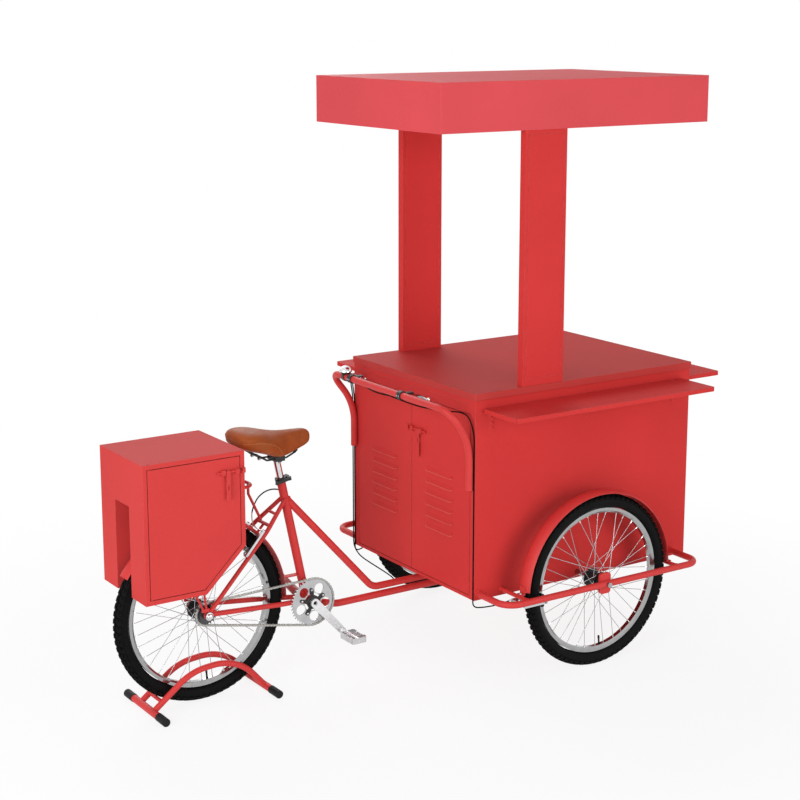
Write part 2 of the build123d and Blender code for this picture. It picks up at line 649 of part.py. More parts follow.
def rear_box():
    """Folded box with a wheel tunnel up its middle and a door opening in its right side."""
    half = REAR_BOX_HALF_WIDTH
    outer = along_y(rear_side_outline(0), -half, half)
    cavity = along_y(rear_side_outline(SHEET), -half + SHEET, half - SHEET)
    wall = TUNNEL_HALF_WIDTH + SHEET
    tunnel = outer & block((-600, 600), (-wall, wall), (0, TUNNEL_TOP_Z + SHEET))
    space = block((-600, 600), (-TUNNEL_HALF_WIDTH, TUNNEL_HALF_WIDTH), (0, TUNNEL_TOP_Z))
    shell = outer - cavity + tunnel - space
    opening = along_y(rear_side_outline(REAR_DOOR_INSET), -half - 5, -half + SHEET + 1)
    jamb_outer = along_y(rear_side_outline(REAR_DOOR_INSET - SHEET), -half, -half + REAR_DOOR_DEPTH)
    jamb_inner = along_y(rear_side_outline(REAR_DOOR_INSET), -half - 1, -half + REAR_DOOR_DEPTH + 1)
    shell = shell - opening + (jamb_outer - jamb_inner)
    keeper_x = REAR_BOX_X[1] - REAR_DOOR_INSET + 8
    keeper_y = -half - BOLT_OUT
    keeper = block((keeper_x - 5, keeper_x + 5), (keeper_y - 7, -half), (REAR_BOLT_Z - 9, REAR_BOLT_Z + 9))
    keeper_bore = BOLT_DIAMETER + 4 * SEAT_GAP
    keeper -= rod((keeper_x - 20, keeper_y, REAR_BOLT_Z), (keeper_x + 20, keeper_y, REAR_BOLT_Z), keeper_bore)
    z0, z1 = REAR_BOX_Z
    return shell + keeper - rear_door_pivot(z0, z1, PIVOT_RADIUS + RUN_FIT)


BOLT_DIAMETER = 8.0
BOLT_OUT = 7.0
BOLT_LEAD = 6.0         # from the end of a drawn-back bolt to its front barrel
BOLT_ROOM = 2.0
BARREL_WIDTH = 12.0
STRAP_WIDTH = 16.0
REAR_BOLT_TRAVEL = 20.0
DOOR_BOLT_TRAVEL = 25.0
REAR_BOLT_END_X = REAR_BOX_X[1] - REAR_DOOR_INSET - DOOR_GAP - 1


def bolt_layout(travel):
    """Back from a bolt's end: middles of the front barrel, the strap and the rear barrel, and the tail."""
    front = BOLT_LEAD + BARREL_WIDTH / 2
    strap = BOLT_LEAD + BARREL_WIDTH + travel + BOLT_ROOM + STRAP_WIDTH / 2
    rear = strap + STRAP_WIDTH / 2 + 2 * BOLT_ROOM + BARREL_WIDTH / 2
    tail = rear + BARREL_WIDTH / 2 + travel - 2 * BOLT_ROOM
    return front, strap, rear, tail


def rear_box_door():
    """Folded door pan on two pivots, with the two barrels that carry its bolt."""
    half = REAR_BOX_HALF_WIDTH
    edge = REAR_DOOR_INSET + DOOR_GAP
    pan = along_y(rear_side_outline(edge), -half, -half + REAR_DOOR_DEPTH - 2)
    pan -= along_y(rear_side_outline(edge + SHEET), -half + SHEET, half)
    z0, z1 = REAR_BOX_Z
    pivot = rear_door_pivot(z0 + edge - 9, z1 - edge + 9, PIVOT_RADIUS)
    door = pan + pivot
    front, _, rear, _ = bolt_layout(REAR_BOLT_TRAVEL)
    reach = BARREL_WIDTH / 2
    for x in (REAR_BOLT_END_X - front, REAR_BOLT_END_X - rear):
        axis_y = -half - BOLT_OUT
        barrel = block((x - reach, x + reach), (axis_y - 7, -half), (REAR_BOLT_Z - 9, REAR_BOLT_Z + 9))
        bore = BOLT_DIAMETER + 2 * RUN_FIT
        barrel -= rod((x - 20, axis_y, REAR_BOLT_Z), (x + 20, axis_y, REAR_BOLT_Z), bore)
        door += barrel
    return door


def slide_bolt(end, direction, out, drop, travel):
    """Round bolt drawn back from its end, with the flat hasp strap that hangs from it as a handle."""
    _, strap_back, _, tail_back = bolt_layout(travel)
    strap_top = end - direction * strap_back
    bolt = rod(end - direction * tail_back, end, BOLT_DIAMETER)
    centre = strap_top + out * 2.0 - Vector(0, 0, drop / 2)
    strap_plane = Plane(origin=centre, x_dir=direction, z_dir=out)
    outline = SlotOverall(drop + 14, STRAP_WIDTH, rotation=90)
    outline -= Pos(0, -drop * 0.1) * SlotOverall(18, 7, rotation=90)
    strap = strap_plane * extrude(outline, amount=3.0)
    return bolt + strap


def rear_box_bolt():
    end = Vector(REAR_BOLT_END_X, -REAR_BOX_HALF_WIDTH - BOLT_OUT, REAR_BOLT_Z)
    return slide_bolt(end, Vector(1, 0, 0), Vector(0, -1, 0), 92, REAR_BOLT_TRAVEL)


# Saddle and its post

SADDLE_STATIONS = [
    # x, half width, underside z, side height, crown height
    (148.0, 54.0, 914.0, 18.0, 40.0),
    (168.0, 90.0, 905.0, 32.0, 62.0),
    (186.0, 100.0, 900.0, 36.0, 70.0),
    (226.0, 106.0, 890.0, 42.0, 80.0),
    (276.0, 88.0, 874.0, 46.0, 86.0),
    (326.0, 56.0, 866.0, 46.0, 84.0),
    (386.0, 36.0, 874.0, 42.0, 74.0),
    (436.0, 28.0, 886.0, 30.0, 58.0),
    (456.0, 16.0, 896.0, 14.0, 32.0),
]
POST_TOP_Z = 846.0
CLAMP_Z = 852.0


def saddle():
    """Padded cover: crowned sections lofted from the wide tail to the narrow nose."""
    sections = []
    for x, half, base, side, crown in SADDLE_STATIONS:
        plane = Plane(origin=(x, 0, base), x_dir=(0, 1, 0), z_dir=(1, 0, 0))
        tuck = half * 0.86
        arc = ThreePointArc((half, side), (0, crown), (-half, side))
        lines = Polyline((-half, side), (-tuck, 0), (tuck, 0), (half, side))
        sections.append(plane * make_face([arc] + lines.edges()))
    return loft(sections, ruled=False)


def saddle_frame():
    """Two wire rails under the cover, spread at the tail, with cross wires and the post clamp."""
    frame = Part()
    for side in (-1, 1):
        rail = [
            (212, side * 48, 889.0), (238, side * 44, 872.0), (272, side * 22, CLAMP_Z),
            (352, side * 22, CLAMP_Z), (392, side * 16, 866.0), (402, side * 14, 873.4),
        ]
        frame += bent_bar(rail, 12, 7)
    frame += rod((238, -46, 872), (238, 46, 872), 9)
    frame += rod((392, -17, 866), (392, 17, 866), 7)
    post_top = seat_axis_point(POST_TOP_Z)
    frame += block((post_top.X - 20, post_top.X + 20), (-30, 30), (CLAMP_Z - 9, CLAMP_Z + 9))
    return frame - seat_post()


def seat_post():
    return rod(seat_axis_point(600), seat_axis_point(POST_TOP_Z), SEAT_POST_DIAMETER)


def seat_clamp_plane():
    axis = (Vector(*SEAT_TUBE_TOP) - BB).normalized()
    return Plane(origin=Vector(*SEAT_TUBE_TOP) - axis * 14, x_dir=(0, 1, 0), z_dir=axis)


def seat_clamp():
    """Split collar round the top of the seat tube, with two ears for the quick-release pin."""
    ring = Circle(SEAT_TUBE_DIAMETER / 2 + 4.5) - Circle(SEAT_TUBE_DIAMETER / 2 + SEAT_GAP / 2)
    ears = Pos(0, -24) * Rectangle(22, 16) - Circle(SEAT_TUBE_DIAMETER / 2 + SEAT_GAP / 2)
    slot = Pos(0, -26) * Rectangle(2.5, 24)
    collar = extrude(ring + ears - slot, amount=16)
    pin_hole = Pos(0, -26, 8) * Rot(0, 90, 0) * Cylinder(2.5 + RUN_FIT, 60)
    pin = Pos(2, -26, 8) * Rot(0, 90, 0) * Cylinder(2.5, 30)
    pin += Pos(13.3, -26, 8) * Rot(0, 90, 0) * Cylinder(6, 4)
    pin += Pos(-12.2, -26, 8) * Rot(0, 90, 0) * Cylinder(6, 2)
    plane = seat_clamp_plane()
    return [plane * (collar - pin_hole), plane * pin]


def seat_clamp_lever():
    """Quick-release lever: a cam barrel against the pin's head and a blade folded along the collar."""
    cam = Pos(-20.4, -26, 8) * Cylinder(7, 13)
    outline = Pos(0, 29.5) * SlotOverall(64, 11, rotation=90)
    blade = Pos(-26.4, -26, 8) * Rot(0, 90, 0) * extrude(outline, amount=4)
    return seat_clamp_plane() * (cam + blade)


# Rear rim brake

PAD_ROOM = 2.0


def rear_brake_arm(side):
    """Upright brake arm on its boss, with the rubber shoe that faces the rim."""
    plane = brake_frame(side)
    pad_y = RIM_WIDTH / 2 + PAD_ROOM
    spot_y = brake_boss().Y
    boss_bore = Cylinder(BRAKE_BOSS_RADIUS + RUN_FIT, 60)
    blade = extrude(make_hull(Circle(10).edges() + (Pos(104, 0) * Circle(5)).edges()), amount=9)
    arm = Pos(0, 0, 11) * blade
    # In this plane x is away from the axle, y is across the wheel and z is along the boss.
    across = plane.y_dir.Y
    reach = spot_y - pad_y
    inward = -side * across
    shoe_holder = Pos(19, inward * (reach - 9) / 2, 15.5) * Box(8, reach - 9, 8)
    shoe = Pos(19, inward * (reach - 5), 15.5) * Box(10, 10, 44)
    return plane * (arm + shoe_holder + shoe - boss_bore)


# Stand

CHOCK_DIAMETER = 14.0


def chock_place(foot_x, foot_z, knee_x, knee_z):
    """Where a cross tube on an arch's sloping leg meets the tyre."""
    reach = TYRE_RADIUS + CHOCK_DIAMETER / 2 + SEAT_GAP
    low, high = 0.0, 1.0
    for _ in range(40):
        middle = (low + high) / 2
        x = foot_x + (knee_x - foot_x) * middle
        z = foot_z + (knee_z - foot_z) * middle
        if hypot(x, z - AXLE_Z) > reach:
            low = middle
        else:
            high = middle
    return x, z


def stand():
    """Two arched tubes either side of the rear tyre, on two foot bars, with two cross tubes that chock it."""
    x0, x1 = STAND_X
    foot_z = STAND_FOOT / 2
    frame = Part()
    for side in (-1, 1):
        y = side * STAND_ARCH_Y
        arch = [(x0, y, foot_z), (-66, y, 132), (118, y, 146), (x1, y, foot_z)]
        frame += bent_bar(arch, 200, STAND_TUBE)
    bar_half = STAND_FOOT_HALF - 32
    for x in STAND_X:
        frame += rod((x, -bar_half, foot_z), (x, bar_half, foot_z), STAND_FOOT - 3)
    for x, z in (chock_place(x0, foot_z, -66, 132), chock_place(x1, foot_z, 118, 146)):
        frame += rod((x, -STAND_ARCH_Y, z), (x, STAND_ARCH_Y, z), CHOCK_DIAMETER)
    return frame


def stand_feet():
    """Rubber cap on each end of the two foot bars."""
    caps = []
    bar_half = STAND_FOOT_HALF - 32
    foot_z = STAND_FOOT / 2
    for x in STAND_X:
        for side in (-1, 1):
            cap = rod((x, side * (bar_half - 28), foot_z), (x, side * STAND_FOOT_HALF, foot_z), STAND_FOOT)
            hole = (x, side * bar_half, foot_z)
            cap -= rod((x, side * (bar_half - 40), foot_z), hole, STAND_FOOT - 3 + SEAT_GAP)
            caps.append(cap)
    return caps


# Cart chassis and box

CHASSIS_Z = (BOX_BOTTOM_Z + 3, BOX_BOTTOM_Z + 3 + CHASSIS_TUBE)
FLOOR_Z = CHASSIS_Z[1]
RAIL_OUTER_Y = BOX_HALF_WIDTH - SHEET - SEAT_GAP
PIN_PLATE_Z = (CHASSIS_Z[0] - 8, CHASSIS_Z[0])


def chassis():
    """Ladder of square tube inside the foot of the box, with a pivot plate under its middle member."""
    x0 = BOX_REAR_X + DOOR_DEPTH + 8
    x1 = BOX_FRONT_X - SHEET - SEAT_GAP
    tube = CHASSIS_TUBE
    wall = CHASSIS_WALL
    rail_inner_y = RAIL_OUTER_Y - tube
    frame = Part()
    for side in (-1, 1):
        low, high = sorted((side * rail_inner_y, side * RAIL_OUTER_Y))
        rail = block((x0, x1), (low, high), CHASSIS_Z)
        core = block((x0 - 1, x1 + 1), (low + wall, high - wall), (CHASSIS_Z[0] + wall, CHASSIS_Z[1] - wall))
        frame += rail - core
    for x in (x0, FRONT_X - tube / 2, x1 - tube):
        member = block((x, x + tube), (-rail_inner_y, rail_inner_y), CHASSIS_Z)
        core_z = (CHASSIS_Z[0] + wall, CHASSIS_Z[1] - wall)
        member -= block((x + wall, x + tube - wall), (-rail_inner_y, rail_inner_y), core_z)
        drain = rod((x + tube / 2, 200, CHASSIS_Z[0] - 1), (x + tube / 2, 200, CHASSIS_Z[0] + 10), 8)
        frame += member - drain
    plate = block((FRONT_X - 80, FRONT_X + 80), (-80, 80), PIN_PLATE_Z)
    frame += fillet(plate.edges().filter_by(Axis.Z), 12)
    half = BOX_HALF_WIDTH
    axle_hole = rod((FRONT_X, -half, AXLE_Z), (FRONT_X, half, AXLE_Z), 2 * (AXLE_RADIUS + RUN_FIT))
    pin_bore = 2 * (KING_PIN_RADIUS + RUN_FIT)
    pin_hole = rod((FRONT_X, 0, PIN_PLATE_Z[0] - 1), (FRONT_X, 0, FLOOR_Z + 1), pin_bore)
    return frame - axle_hole - pin_hole


def king_pin():
    """Steering pin through the middle member and the head tube, with the nut that holds it below."""
    low, high = head_tube_z()
    foot = low - SEAT_GAP - 24
    head_z = FLOOR_Z + 10
    pin = rod((FRONT_X, 0, foot), (FRONT_X, 0, FLOOR_Z), 2 * KING_PIN_RADIUS)
    head = rod((FRONT_X, 0, FLOOR_Z), (FRONT_X, 0, head_z), 2 * KING_PIN_RADIUS + 16)
    nut = Pos(FRONT_X, 0, low - SEAT_GAP - 18) * hex_nut(46, KING_PIN_RADIUS + RUN_FIT, 18)
    return [pin + head, nut]


def door_span():
    """Hinge-side edge of a door, and the Y of its pivot, on the left side."""
    edge = BOX_HALF_WIDTH - STILE_WIDTH - DOOR_GAP
    return edge, edge - PIVOT_INSET


def box_shell():
    """Folded walls, floor and rear face of the counter box, with the jamb round the door opening."""
    x0, x1 = BOX_REAR_X, BOX_FRONT_X
    half = BOX_HALF_WIDTH
    top = COUNTER_Z - SHEET
    outer = block((x0, x1), (-half, half), (BOX_BOTTOM_Z, top))
    room = block((x0 + SHEET, x1 - SHEET), (-half + SHEET, half - SHEET), (BOX_BOTTOM_Z - 1, top + 1))
    floor_x = (x0 + DOOR_DEPTH + 8, x1 - SHEET)
    floor = block(floor_x, (-half + SHEET, half - SHEET), (FLOOR_Z, FLOOR_Z + SHEET))
    opening_y = half - STILE_WIDTH
    opening_z = (DOOR_BOTTOM_Z - DOOR_GAP, DOOR_TOP_Z + DOOR_GAP)
    opening = block((x0 - 1, x0 + SHEET + 1), (-opening_y, opening_y), opening_z)
    lip_depth = (x0, x0 + DOOR_DEPTH + 2)
    lip_z = (opening_z[0] - SHEET, opening_z[1] + SHEET)
    lip = block(lip_depth, (-opening_y - SHEET, opening_y + SHEET), lip_z)
    lip -= block((x0 - 1, x1), (-opening_y, opening_y), opening_z)
    # The pin head and the front axle nuts stand inside the chassis.
    pin_room = rod((FRONT_X, 0, FLOOR_Z - 1), (FRONT_X, 0, FLOOR_Z + 20), 2 * KING_PIN_RADIUS + 18)
    return outer - room + floor - opening + lip - pin_room


def header_groove():
    """Shallow fold line across the header above the doors."""
    y = BOX_HALF_WIDTH - STILE_WIDTH
    return block((BOX_REAR_X - 1, BOX_REAR_X + 0.8), (-y, y), (1044, 1046))


def shelf_bracket():
    """Wall leg with a hinge knuckle, standing off the Y = 0 plane towards +Y, knuckle axis at Z = 0."""
    plate = block((-BRACKET_WIDTH / 2, BRACKET_WIDTH / 2), (0, 2.5), (-BRACKET_DROP, 0))
    for z in (-30, -48, -66):
        plate -= rod((0, -1, z), (0, 4, z), 7)
    neck = block((-BRACKET_WIDTH / 2, BRACKET_WIDTH / 2), (0, SHELF_AXIS_OUT), (-4, 4))
    knuckle = rod((-BRACKET_WIDTH / 2, SHELF_AXIS_OUT, 0), (BRACKET_WIDTH / 2, SHELF_AXIS_OUT, 0), 13)
    hole = rod((-20, SHELF_AXIS_OUT, 0), (20, SHELF_AXIS_OUT, 0), 2 * (SHELF_PIN_RADIUS + RUN_FIT))
    return plate + neck + knuckle - hole


def side_bracket_places():
    x0, x1 = SIDE_SHELF_X
    return (x0 + 36, (x0 + x1) / 2, x1 - 36)


def front_bracket_places():
    return (-330.0, 0.0, 330.0)


def cart_box():
    """The counter box with its shelf brackets welded on, drilled for axles and door pivots."""
    shell = box_shell() - header_groove()
    edge, pivot_y = door_span()
    for side in (-1, 1):
        spot = (BOX_REAR_X + PIVOT_INSET, side * pivot_y)
        shell -= rod((*spot, DOOR_BOTTOM_Z - 20), (*spot, DOOR_TOP_Z + 20), 2 * (PIVOT_RADIUS + RUN_FIT))
    shell -= rod((FRONT_X, -500, AXLE_Z), (FRONT_X, 500, AXLE_Z), 2 * (AXLE_RADIUS + RUN_FIT))
    for x in side_bracket_places():
        leg = Pos(x, BOX_HALF_WIDTH, SHELF_AXIS_Z) * shelf_bracket()
        shell += leg
        shell += mirrored(leg)
    for y in front_bracket_places():
        shell += Pos(BOX_FRONT_X, y, SHELF_AXIS_Z) * Rot(0, 0, -90) * shelf_bracket()
    return shell


def post_slot(z_low, z_high):
    """Room for the left roof post through a sheet."""
    x = (POST_X[0] - SEAT_GAP, POST_X[1] + SEAT_GAP)
    y = (POST_OUTER_Y - POST_THICKNESS - SEAT_GAP, POST_OUTER_Y + SEAT_GAP)
    return block(x, y, (z_low, z_high))


def counter_top():
    """Tray lid: a flat top with a folded skirt that drops over the walls, and a slot for each roof post."""
    over = COUNTER_OVERHANG
    x = (BOX_REAR_X - over, BOX_FRONT_X + over)
    y = (-BOX_HALF_WIDTH - over, BOX_HALF_WIDTH + over)
    tray = block(x, y, (COUNTER_Z - COUNTER_SKIRT, COUNTER_Z))
    tray = fillet(tray.edges().filter_by(Axis.Z), 4)
    hollow_x = (x[0] + SHEET, x[1] - SHEET)
    hollow_y = (y[0] + SHEET, y[1] - SHEET)
    tray -= block(hollow_x, hollow_y, (0, COUNTER_Z - SHEET))
    slot = post_slot(COUNTER_Z - SHEET - 1, COUNTER_Z + 1)
    return tray - slot - mirrored(slot)


LOUVRE_COUNT = 6
LOUVRE_PITCH = 44.0
LOUVRE_TOP_Z = 748.0
LOUVRE_WIDTH = 164.0
LOUVRE_Y = 185.0


def louvre(grow, shorten):
    """Pressed hood of one louvre: a wedge standing out of the door, open below."""
    face_x = BOX_REAR_X
    outline = Polyline((face_x + grow, 8), (face_x - 7 + grow, -9), (face_x + grow, -9), close=True)
    length = LOUVRE_WIDTH - shorten
    return along_y(make_face(outline), -length / 2, length / 2)


DOOR_BOLT_Z = 884.0
DOOR_BOLT_END_Y = -DOOR_GAP
KEEPER_Y = 14.0


def bolt_barrel(y, bore):
    """Block on a door's face that carries the bolt, or takes its end."""
    axis_x = BOX_REAR_X - BOLT_OUT
    reach = BARREL_WIDTH / 2
    barrel = block((axis_x - 7, BOX_REAR_X), (y - reach, y + reach), (DOOR_BOLT_Z - 9, DOOR_BOLT_Z + 9))
    return barrel - rod((axis_x, y - 20, DOOR_BOLT_Z), (axis_x, y + 20, DOOR_BOLT_Z), bore)


def door(side):
    """Folded door pan with pivots at its outer edge and a column of pressed louvres."""
    edge, pivot_y = door_span()
    inner = DOOR_GAP / 2
    low, high = sorted((side * inner, side * edge))
    x0 = BOX_REAR_X
    pan = block((x0, x0 + DOOR_DEPTH), (low, high), (DOOR_BOTTOM_Z, DOOR_TOP_Z))
    hollow_z = (DOOR_BOTTOM_Z + SHEET, DOOR_TOP_Z - SHEET)
    pan -= block((x0 + SHEET, x0 + DOOR_DEPTH + 1), (low + SHEET, high - SHEET), hollow_z)
    spot = (x0 + PIVOT_INSET, side * pivot_y)
    pan += rod((*spot, DOOR_BOTTOM_Z - 10), (*spot, DOOR_TOP_Z + 10), 2 * PIVOT_RADIUS)
    for index in range(LOUVRE_COUNT):
        place = Pos(0, side * LOUVRE_Y, LOUVRE_TOP_Z - index * LOUVRE_PITCH)
        pan += place * louvre(0, 0)
        pan -= place * (Pos(SHEET + 0.4, 0, -1.2) * louvre(0, 2 * SHEET))
    if side < 0:
        front, _, rear, _ = bolt_layout(DOOR_BOLT_TRAVEL)
        for y in (DOOR_BOLT_END_Y - front, DOOR_BOLT_END_Y - rear):
            pan += bolt_barrel(y, BOLT_DIAMETER + 2 * RUN_FIT)
    else:
        pan += bolt_barrel(KEEPER_Y, BOLT_DIAMETER + 4 * SEAT_GAP)
    return pan




def door_bolt():
    end = Vector(BOX_REAR_X - BOLT_OUT, DOOR_BOLT_END_Y, DOOR_BOLT_Z)
    return slide_bolt(end, Vector(0, 1, 0), Vector(-1, 0, 0), 96, DOOR_BOLT_TRAVEL)


# Shelves

def shelf(length, depth, notch_places):
    """Folded tray along X, hinged on pins that cross notches in its inner edge at Y = 0, reaching to +Y."""
    half_thick = SHELF_THICKNESS / 2
    tray = block((-length / 2, length / 2), (SHELF_EDGE_OUT, depth), (-half_thick, half_thick))
    tray = fillet(tray.edges().filter_by(Axis.Z).sort_by(Axis.Y)[-2:], 10)
    hollow = block(
        (-length / 2 + SHEET, length / 2 - SHEET), (SHELF_EDGE_OUT + SHEET, depth - SHEET),
        (-SHELF_THICKNESS, half_thick - SHEET),
    )
    tray -= hollow
    for x in notch_places:
        room = BRACKET_WIDTH / 2 + 2
        cheek = room + SHEET + 2
        tray += block((x - cheek, x + cheek), (SHELF_EDGE_OUT, 30), (-half_thick, half_thick))
        tray -= block((x - room, x + room), (0, 26), (-SHELF_THICKNESS, SHELF_THICKNESS))
        pin = cheek - 1
        tray += rod((x - pin, SHELF_AXIS_OUT, 0), (x + pin, SHELF_AXIS_OUT, 0), 2 * SHELF_PIN_RADIUS)
    return tray


def side_shelf():
    x0, x1 = SIDE_SHELF_X
    middle = (x0 + x1) / 2
    places = [x - middle for x in side_bracket_places()]
    tray = shelf(x1 - x0, SIDE_SHELF_REACH - BOX_HALF_WIDTH, places)
    return Pos(middle, BOX_HALF_WIDTH, SHELF_AXIS_Z) * tray


def front_shelf():
    tray = shelf(2 * BOX_HALF_WIDTH - 20, FRONT_SHELF_DEPTH, [-y for y in front_bracket_places()])
    return Pos(BOX_FRONT_X, 0, SHELF_AXIS_Z) * Rot(0, 0, -90) * tray


# Roof

def roof_post():
    """Flat box post from the wall's top edge up through the counter into the roof, with a panel line."""
    x0, x1 = POST_X
    y0, y1 = POST_OUTER_Y - POST_THICKNESS, POST_OUTER_Y
    top = ROOF_BOTTOM_Z + ROOF_HEIGHT - SHEET
    foot = COUNTER_Z - SHEET
    post = block((x0, x1), (y0, y1), (foot, top))
    post -= block((x0 + SHEET, x1 - SHEET), (y0 + SHEET, y1 - SHEET), (foot - 1, top + 1))
    margin = 12.0
    line = 1.6
    panel_z = (COUNTER_Z + 26, ROOF_BOTTOM_Z - 14)
    for face_y in (y0, y1):
        rim_y = (face_y - 0.8, face_y + 0.8)
        seam = block((x0 + margin, x1 - margin), rim_y, panel_z)
        inside_z = (panel_z[0] + line, panel_z[1] - line)
        seam -= block((x0 + margin + line, x1 - margin - line), rim_y, inside_z)
        post -= seam
    return post


def roof():
    """Closed sheet box with two slots in its underside for the posts."""
    z = (ROOF_BOTTOM_Z, ROOF_BOTTOM_Z + ROOF_HEIGHT)
    y = (-ROOF_HALF_WIDTH, ROOF_HALF_WIDTH)
    outer = block(ROOF_X, y, z)
    outer = fillet(outer.edges().filter_by(Axis.Z), 3)
    inner_x = (ROOF_X[0] + SHEET, ROOF_X[1] - SHEET)
    inner_y = (y[0] + SHEET, y[1] - SHEET)
    shell = outer - block(inner_x, inner_y, (z[0] + SHEET, z[1] - SHEET))
    slot = post_slot(z[0] - 1, z[0] + SHEET + 1)
    return shell - slot - mirrored(slot)


# Front wheel guards, fenders, axles and brakes

def wheel_guard():
    """Tube loop round the left wheel at axle height, with two braces and the plate that takes the axle."""
    wall_y = BOX_HALF_WIDTH + SEAT_GAP
    x0, x1 = GUARD_X
    z = AXLE_Z
    loop_points = [(x0, wall_y, z), (x0, GUARD_Y, z), (x1, GUARD_Y, z), (x1, wall_y, z)]
    guard = bent_bar(loop_points, 62, GUARD_DIAMETER)
    for offset_x in (-BRACE_OFFSET, BRACE_OFFSET):
        x = FRONT_X + offset_x
        guard += rod((x, wall_y, z), (x, GUARD_Y, z), BRACE_DIAMETER)
    plate_y = GUARD_Y - GUARD_DIAMETER / 2
    lug = block((FRONT_X - 25, FRONT_X + 25), (plate_y - 6, plate_y + 6), (z - 40, z + 40))
    guard += fillet(lug.edges().filter_by(Axis.Y), 12)
    hole = rod((FRONT_X, 0, z), (FRONT_X, GUARD_Y + 60, z), 2 * (AXLE_RADIUS + RUN_FIT))
    return guard - hole


def front_fender():
    """Half-round mudguard over the left front wheel, with a foot at each end on the guard's braces."""
    lift = 3.0
    shell = fender_shell(lift, 180 - 2 * lift)
    for side in (-1, 1):
        low, high = sorted((side * (FENDER_RADIUS - 1), side * (BRACE_OFFSET + 6)))
        foot_z = BRACE_DIAMETER / 2 + SEAT_GAP
        foot = block((low, high), (-14, 14), (foot_z, foot_z + 3))
        web_x = sorted((side * FENDER_RADIUS, side * (FENDER_RADIUS + 3)))
        web = block(web_x, (-14, 14), (foot_z, foot_z + 30))
        shell += foot + web
    return Pos(FRONT_X, FRONT_WHEEL_Y, AXLE_Z) * shell


def front_axle():
    """Axle from the chassis rail through the hub to the guard, with a shoulder at the wall and two nuts."""
    outer = GUARD_Y + GUARD_DIAMETER / 2 + SEAT_GAP
    inner = RAIL_OUTER_Y - CHASSIS_TUBE - SEAT_GAP
    hub_face = FRONT_WHEEL_Y - FRONT_HUB_HALF - SEAT_GAP
    bar = rod((0, inner - 10, 0), (0, outer + 8.3, 0), 2 * AXLE_RADIUS)
    shoulder = rod((0, BOX_HALF_WIDTH + SEAT_GAP, 0), (0, hub_face, 0), 20)
    lug_face = GUARD_Y - GUARD_DIAMETER / 2 - 6 - SEAT_GAP
    collar = rod((0, FRONT_WHEEL_Y + FRONT_HUB_HALF + SEAT_GAP, 0), (0, lug_face, 0), 18)
    nut = hex_nut(19, AXLE_RADIUS + RUN_FIT, 8)
    pieces = [bar + shoulder + collar, along_axis_y(nut, outer), along_axis_y(nut, inner - 8)]
    return [Pos(FRONT_X, 0, AXLE_Z) * piece for piece in pieces]


def rear_axle():
    """Rear axle with a shoulder inside each dropout and a nut outside it."""
    nut_y = DROPOUT_Y + DROPOUT_THICKNESS + SEAT_GAP
    end_y = nut_y + 11
    bar = rod((0, -end_y, 0), (0, end_y, 0), 2 * AXLE_RADIUS)
    for side in (-1, 1):
        start = (0, side * (REAR_HUB_HALF + SEAT_GAP), 0)
        bar += rod(start, (0, side * (DROPOUT_Y - SEAT_GAP), 0), 18)
    nut = hex_nut(19, AXLE_RADIUS + RUN_FIT, 9)
    pieces = [bar, along_axis_y(nut, nut_y), along_axis_y(nut, -nut_y - 9)]
    return [Pos(0, 0, AXLE_Z) * piece for piece in pieces]


CALIPER_Z = (AXLE_Z - 30, AXLE_Z - 18)


def front_brake():
    """Caliper behind the left front wheel: a bridge under the guard's brace and two arms with shoes."""
    y = FRONT_WHEEL_Y
    bridge_x = FRONT_X - BRACE_OFFSET - 6
    rim_x = FRONT_X - (RIM_EDGE_RADIUS - 8)
    arm_in = TYRE_WIDTH / 2 + 8
    arm_out = arm_in + 8
    pad = RIM_WIDTH / 2 + PAD_ROOM
    caliper = block((bridge_x, bridge_x + 12), (y - arm_out, y + arm_out), CALIPER_Z)
    for side in (-1, 1):
        low, high = sorted((y + side * arm_in, y + side * arm_out))
        caliper += block((bridge_x, rim_x + 6), (low, high), CALIPER_Z)
        low, high = sorted((y + side * pad, y + side * (arm_in + 1)))
        caliper += block((rim_x - 5, rim_x + 5), (low, high), CALIPER_Z)
    brace_foot = AXLE_Z - BRACE_DIAMETER / 2 - SEAT_GAP
    post_x = FRONT_X - BRACE_OFFSET
    caliper += rod((post_x, y, CALIPER_Z[0] + 2), (post_x, y, brace_foot), 10)
    return caliper


# Handlebar, levers and bell

def handlebar():
    """U-shaped tube: two legs on the box's rear corners that sweep back into one cross bar."""
    legs = []
    for side in (1, -1):
        y = side * BAR_HALF_WIDTH
        elbow_y = side * (BAR_HALF_WIDTH + BAR_FLARE)
        points = [(LEG_X, y, BAR_LEG_FOOT_Z), (LEG_X, y, BAR_LEG_BEND_Z), (BAR_X, elbow_y, BAR_Z)]
        legs.append(points)
    path = legs[0] + legs[1][::-1]
    return bent_bar(path, [230, 66, 66, 230], BAR_DIAMETER)


LEVER_PLACES = {"left": 246.0, "right": -100.0}
LEVER_PIVOT_OUT = 38.0
LEVER_REACH = 114.0


def lever_mount(y):
    """Clamp band round the cross bar with the forked body that carries the brake lever."""
    band = rod((BAR_X, y - 11, BAR_Z), (BAR_X, y + 11, BAR_Z), BAR_DIAMETER + 9)
    band -= rod((BAR_X, y - 20, BAR_Z), (BAR_X, y + 20, BAR_Z), BAR_DIAMETER + 2 * SEAT_GAP)
    body_x = (BAR_X + BAR_DIAMETER / 2 + 1, BAR_X + LEVER_PIVOT_OUT + 9)
    body = block(body_x, (y - 11, y + 11), (BAR_Z - 9, BAR_Z + 9))
    slot = block((BAR_X + 24, BAR_X + 70), (y - 30, y + 30), (BAR_Z - 4.5, BAR_Z + 4.5))
    pin = rod((BAR_X + LEVER_PIVOT_OUT, y, BAR_Z - 8), (BAR_X + LEVER_PIVOT_OUT, y, BAR_Z + 8), 6)
    return band + body - slot + pin


